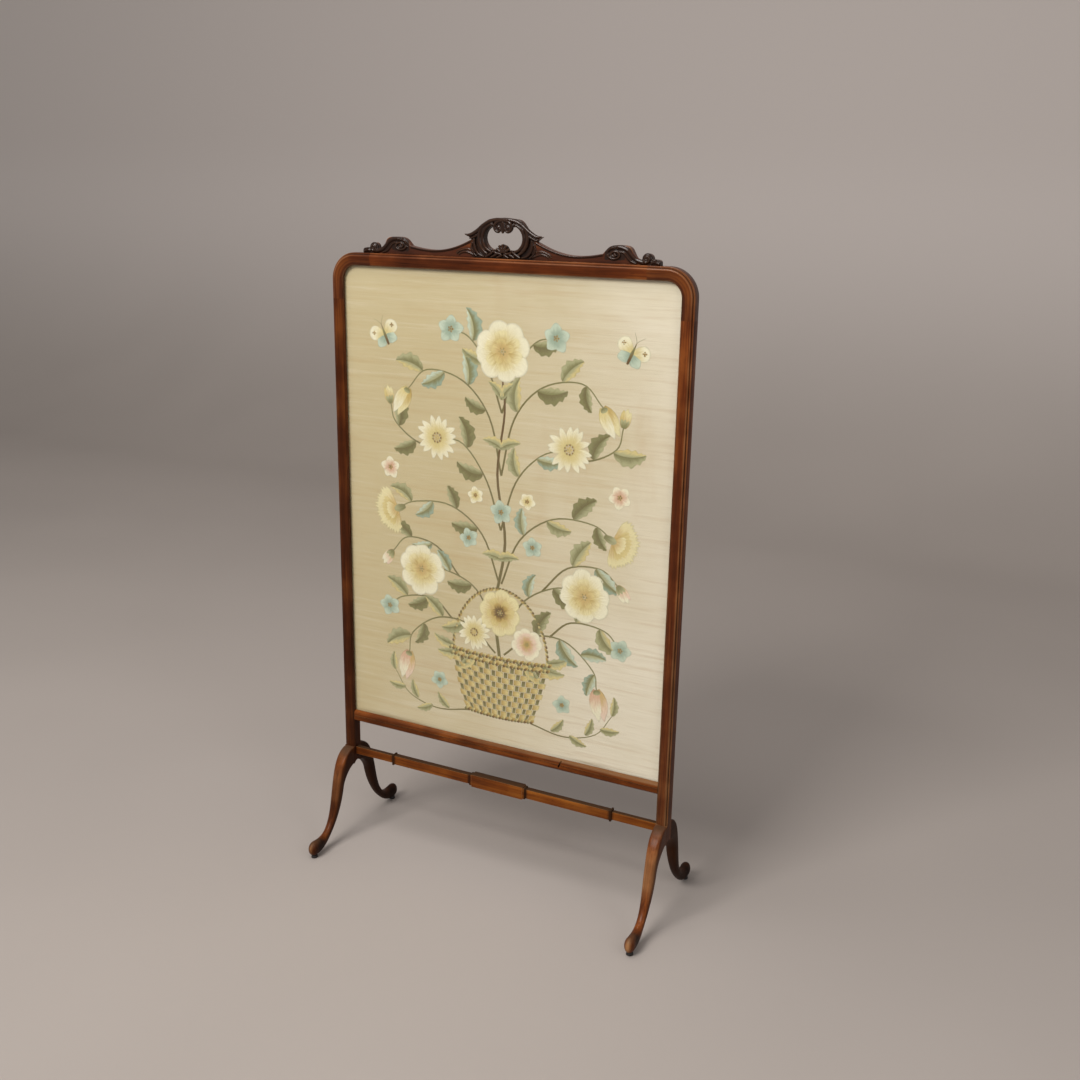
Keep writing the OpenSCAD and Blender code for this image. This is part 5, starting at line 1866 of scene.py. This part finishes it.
class SCREEN_OT_beads(bpy.types.Operator):
    """Models the beads that hold the panel from behind."""
    bl_idname = "fire_screen.beads"
    bl_label = "Beads"

    def execute(self, context):
        upright = wood("bead mahogany, upright", tones("frame"), wear=0.5, hollow=1.0, rough=0.5,
                       coat=0.1, seed=13.1)
        for name, way, grain in (("right_bead", (-1, 0, 0), lambda p: p),
                                 ("left_bead", (1, 0, 0), lambda p: p),
                                 ("top_bead", (0, 0, -1), lambda p: p[:, [2, 1, 0]]),
                                 ("bottom_bead", (0, 0, 1), lambda p: p[:, [2, 1, 0]])):
            bar = bead_bar(name, way)
            mark_age(bar)
            set_grain(bar, grain)
            hand_over(bar, upright, "bead_wood", name)
        right = self.corner()
        hand_over(right, upright, "bead_wood", "right_corner_bead")
        hand_over(mirrored(right, "left_corner_bead_strip", "x"), upright, "bead_wood",
                  "left_corner_bead")
        return {"FINISHED"}

    def corner(self):
        """The bead round the right top corner."""
        low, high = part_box("right_corner_bead")
        inner = high.z - (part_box("top_bead")[1].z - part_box("top_bead")[0].z)
        turn = 2.4 * MM
        section = [(high.z, low.y), (high.z, high.y)]
        section += [(z, y) for y, z in arc((high.y - turn, inner + turn), turn, 0, -90, 7)]
        section += [(inner, low.y)]
        bead = add_outline([(low.x, y, z) for z, y in section], "bead")
        edit(bead)
        bpy.ops.mesh.select_all(action="SELECT")
        bpy.ops.mesh.spin(steps=20, angle=-math.pi / 2, center=(low.x, 0, low.z), axis=(0, 1, 0))
        close_up(bead)
        smooth(bead)
        settle(bead, "right_corner_bead_strip")
        mark_age(bead)
        set_grain(bead, corner_grain)
        return bead


# Stage

CAMERA_PLACE = (0.88463, -1.64072, 1.13207)
CAMERA_TURN = 26.388
CAMERA_RISE = 16.070
CAMERA_ROLL = 1.065
CAMERA_LENS = 40.203


def area_lamp(name, place, target, size, power, tint):
    lamp = bpy.data.lights.new(name, "AREA")
    lamp.shape = "RECTANGLE"
    lamp.size, lamp.size_y = size
    lamp.energy = power
    lamp.color = tint
    obj = bpy.data.objects.new(name, lamp)
    bpy.context.scene.collection.objects.link(obj)
    obj.location = place
    way = Vector(target) - Vector(place)
    obj.rotation_euler = way.to_track_quat("-Z", "Y").to_euler()


class SCREEN_OT_stage(bpy.types.Operator):
    """Sets the floor, wall, lamps and camera."""
    bl_idname = "fire_screen.stage"
    bl_label = "Stage"

    def execute(self, context):
        self.floor()
        self.lamps()
        self.camera()
        context.scene.view_settings.view_transform = "Standard"
        return {"FINISHED"}

    def floor(self):
        start_clean()
        bpy.ops.mesh.primitive_plane_add(size=1, location=(0, 0, 0))
        floor = bpy.context.object
        floor.scale = (14, 12, 1)
        floor.location = (0, -2.4, 0)
        settle(floor, "studio_floor")
        edit(floor)
        wall_y = 3.6
        choose_edges(lambda a, b: min(a.y, b.y) > wall_y - 0.1)
        extrude((0, 0, 6))
        choose_edges(lambda a, b: min(a.y, b.y) > wall_y - 0.1 and max(a.z, b.z) < 0.1)
        bpy.ops.mesh.bevel(offset=1.4, segments=24, profile=0.5)
        start_clean()
        smooth(floor, math.radians(60))
        f = Finish("studio paper")
        tint = tuple(settings().colours.floor)
        mottle = f.noise(f.object_coords(), (0.9, 0.9, 0.9), 2)
        shade = f.mix(mottle.step(0.3, 0.7), tuple(0.94 * c for c in tint), tint)
        height = f.parts(f.object_coords())[2]
        # The paper grows lighter upwards to the wall's tint: painted light on the wall.
        shade = f.mix(height.step(0.02, 1.2), shade, tuple(settings().colours.wall))
        floor.data.materials.append(f.surface({"Base Color": shade, "Roughness": 0.9}))

    def lamps(self):
        s = settings().stage
        area_lamp("key", (-0.8, -3.1, 3.2), (0, 0, 0.6), (1.7, 1.7), s.key, (1.0, 0.99, 0.97))
        area_lamp("top", (-0.3, -0.7, 3.0), (0, 0, 0.6), (1.6, 1.0), s.top, (1, 1, 1))
        area_lamp("side", (2.7, -1.3, 1.9), (0, 0, 0.7), (1.0, 1.6), s.side, (0.96, 0.98, 1.0))
        world = bpy.data.worlds.new("studio")
        bpy.context.scene.world = world
        world.use_nodes = True
        tree = world.node_tree
        tree.nodes["Background"].inputs["Color"].default_value = (1, 1, 1, 1)
        tree.nodes["Background"].inputs["Strength"].default_value = s.world

    def camera(self):
        turn, rise, roll = (math.radians(v) for v in (CAMERA_TURN, CAMERA_RISE, CAMERA_ROLL))
        back = Vector((math.sin(turn) * math.cos(rise), -math.cos(turn) * math.cos(rise), math.sin(rise)))
        right = (-back).cross(Vector((0, 0, 1))).normalized()
        up = right.cross(-back)
        side = math.cos(roll) * right + math.sin(roll) * up
        head = math.cos(roll) * up - math.sin(roll) * right
        camera = bpy.data.objects.new("camera", bpy.data.cameras.new("camera"))
        camera.data.lens = CAMERA_LENS
        camera.data.sensor_width = 36
        bpy.context.scene.collection.objects.link(camera)
        camera.matrix_world = (Matrix.Translation(CAMERA_PLACE)
                               @ Matrix((side, head, back)).transposed().to_4x4())
        bpy.context.scene.camera = camera


class SCREEN_PT_panel(bpy.types.Panel):
    """Lists the pieces in the sidebar."""
    bl_label = "Fire Screen"
    bl_idname = "SCREEN_PT_panel"
    bl_space_type = "VIEW_3D"
    bl_region_type = "UI"
    bl_category = "Fire Screen"

    def draw(self, context):
        for operator in OPERATORS:
            self.layout.operator(operator.bl_idname)


OPERATORS = [SCREEN_OT_stage, SCREEN_OT_uprights, SCREEN_OT_corners, SCREEN_OT_top_rail,
             SCREEN_OT_bottom_rail, SCREEN_OT_stretcher, SCREEN_OT_legs, SCREEN_OT_pads,
             SCREEN_OT_crest, SCREEN_OT_boards, SCREEN_OT_silk, SCREEN_OT_needlework,
             SCREEN_OT_glass, SCREEN_OT_beads]
GROUPS = [FrameSizes, LegSizes, CrestSizes, PanelSizes, Colours, Threads, StageSettings,
          ScreenSettings]


def register():
    for made in (*GROUPS, *OPERATORS, SCREEN_PT_panel):
        bpy.utils.register_class(made)
    bpy.types.Scene.fire_screen = PointerProperty(type=ScreenSettings)


def unregister():
    del bpy.types.Scene.fire_screen
    for made in reversed((*GROUPS, *OPERATORS, SCREEN_PT_panel)):
        bpy.utils.unregister_class(made)


def main():
    register()
    for operator in OPERATORS:
        group, name = operator.bl_idname.split(".")
        getattr(getattr(bpy.ops, group), name)()


if __name__ == "__main__":
    main()
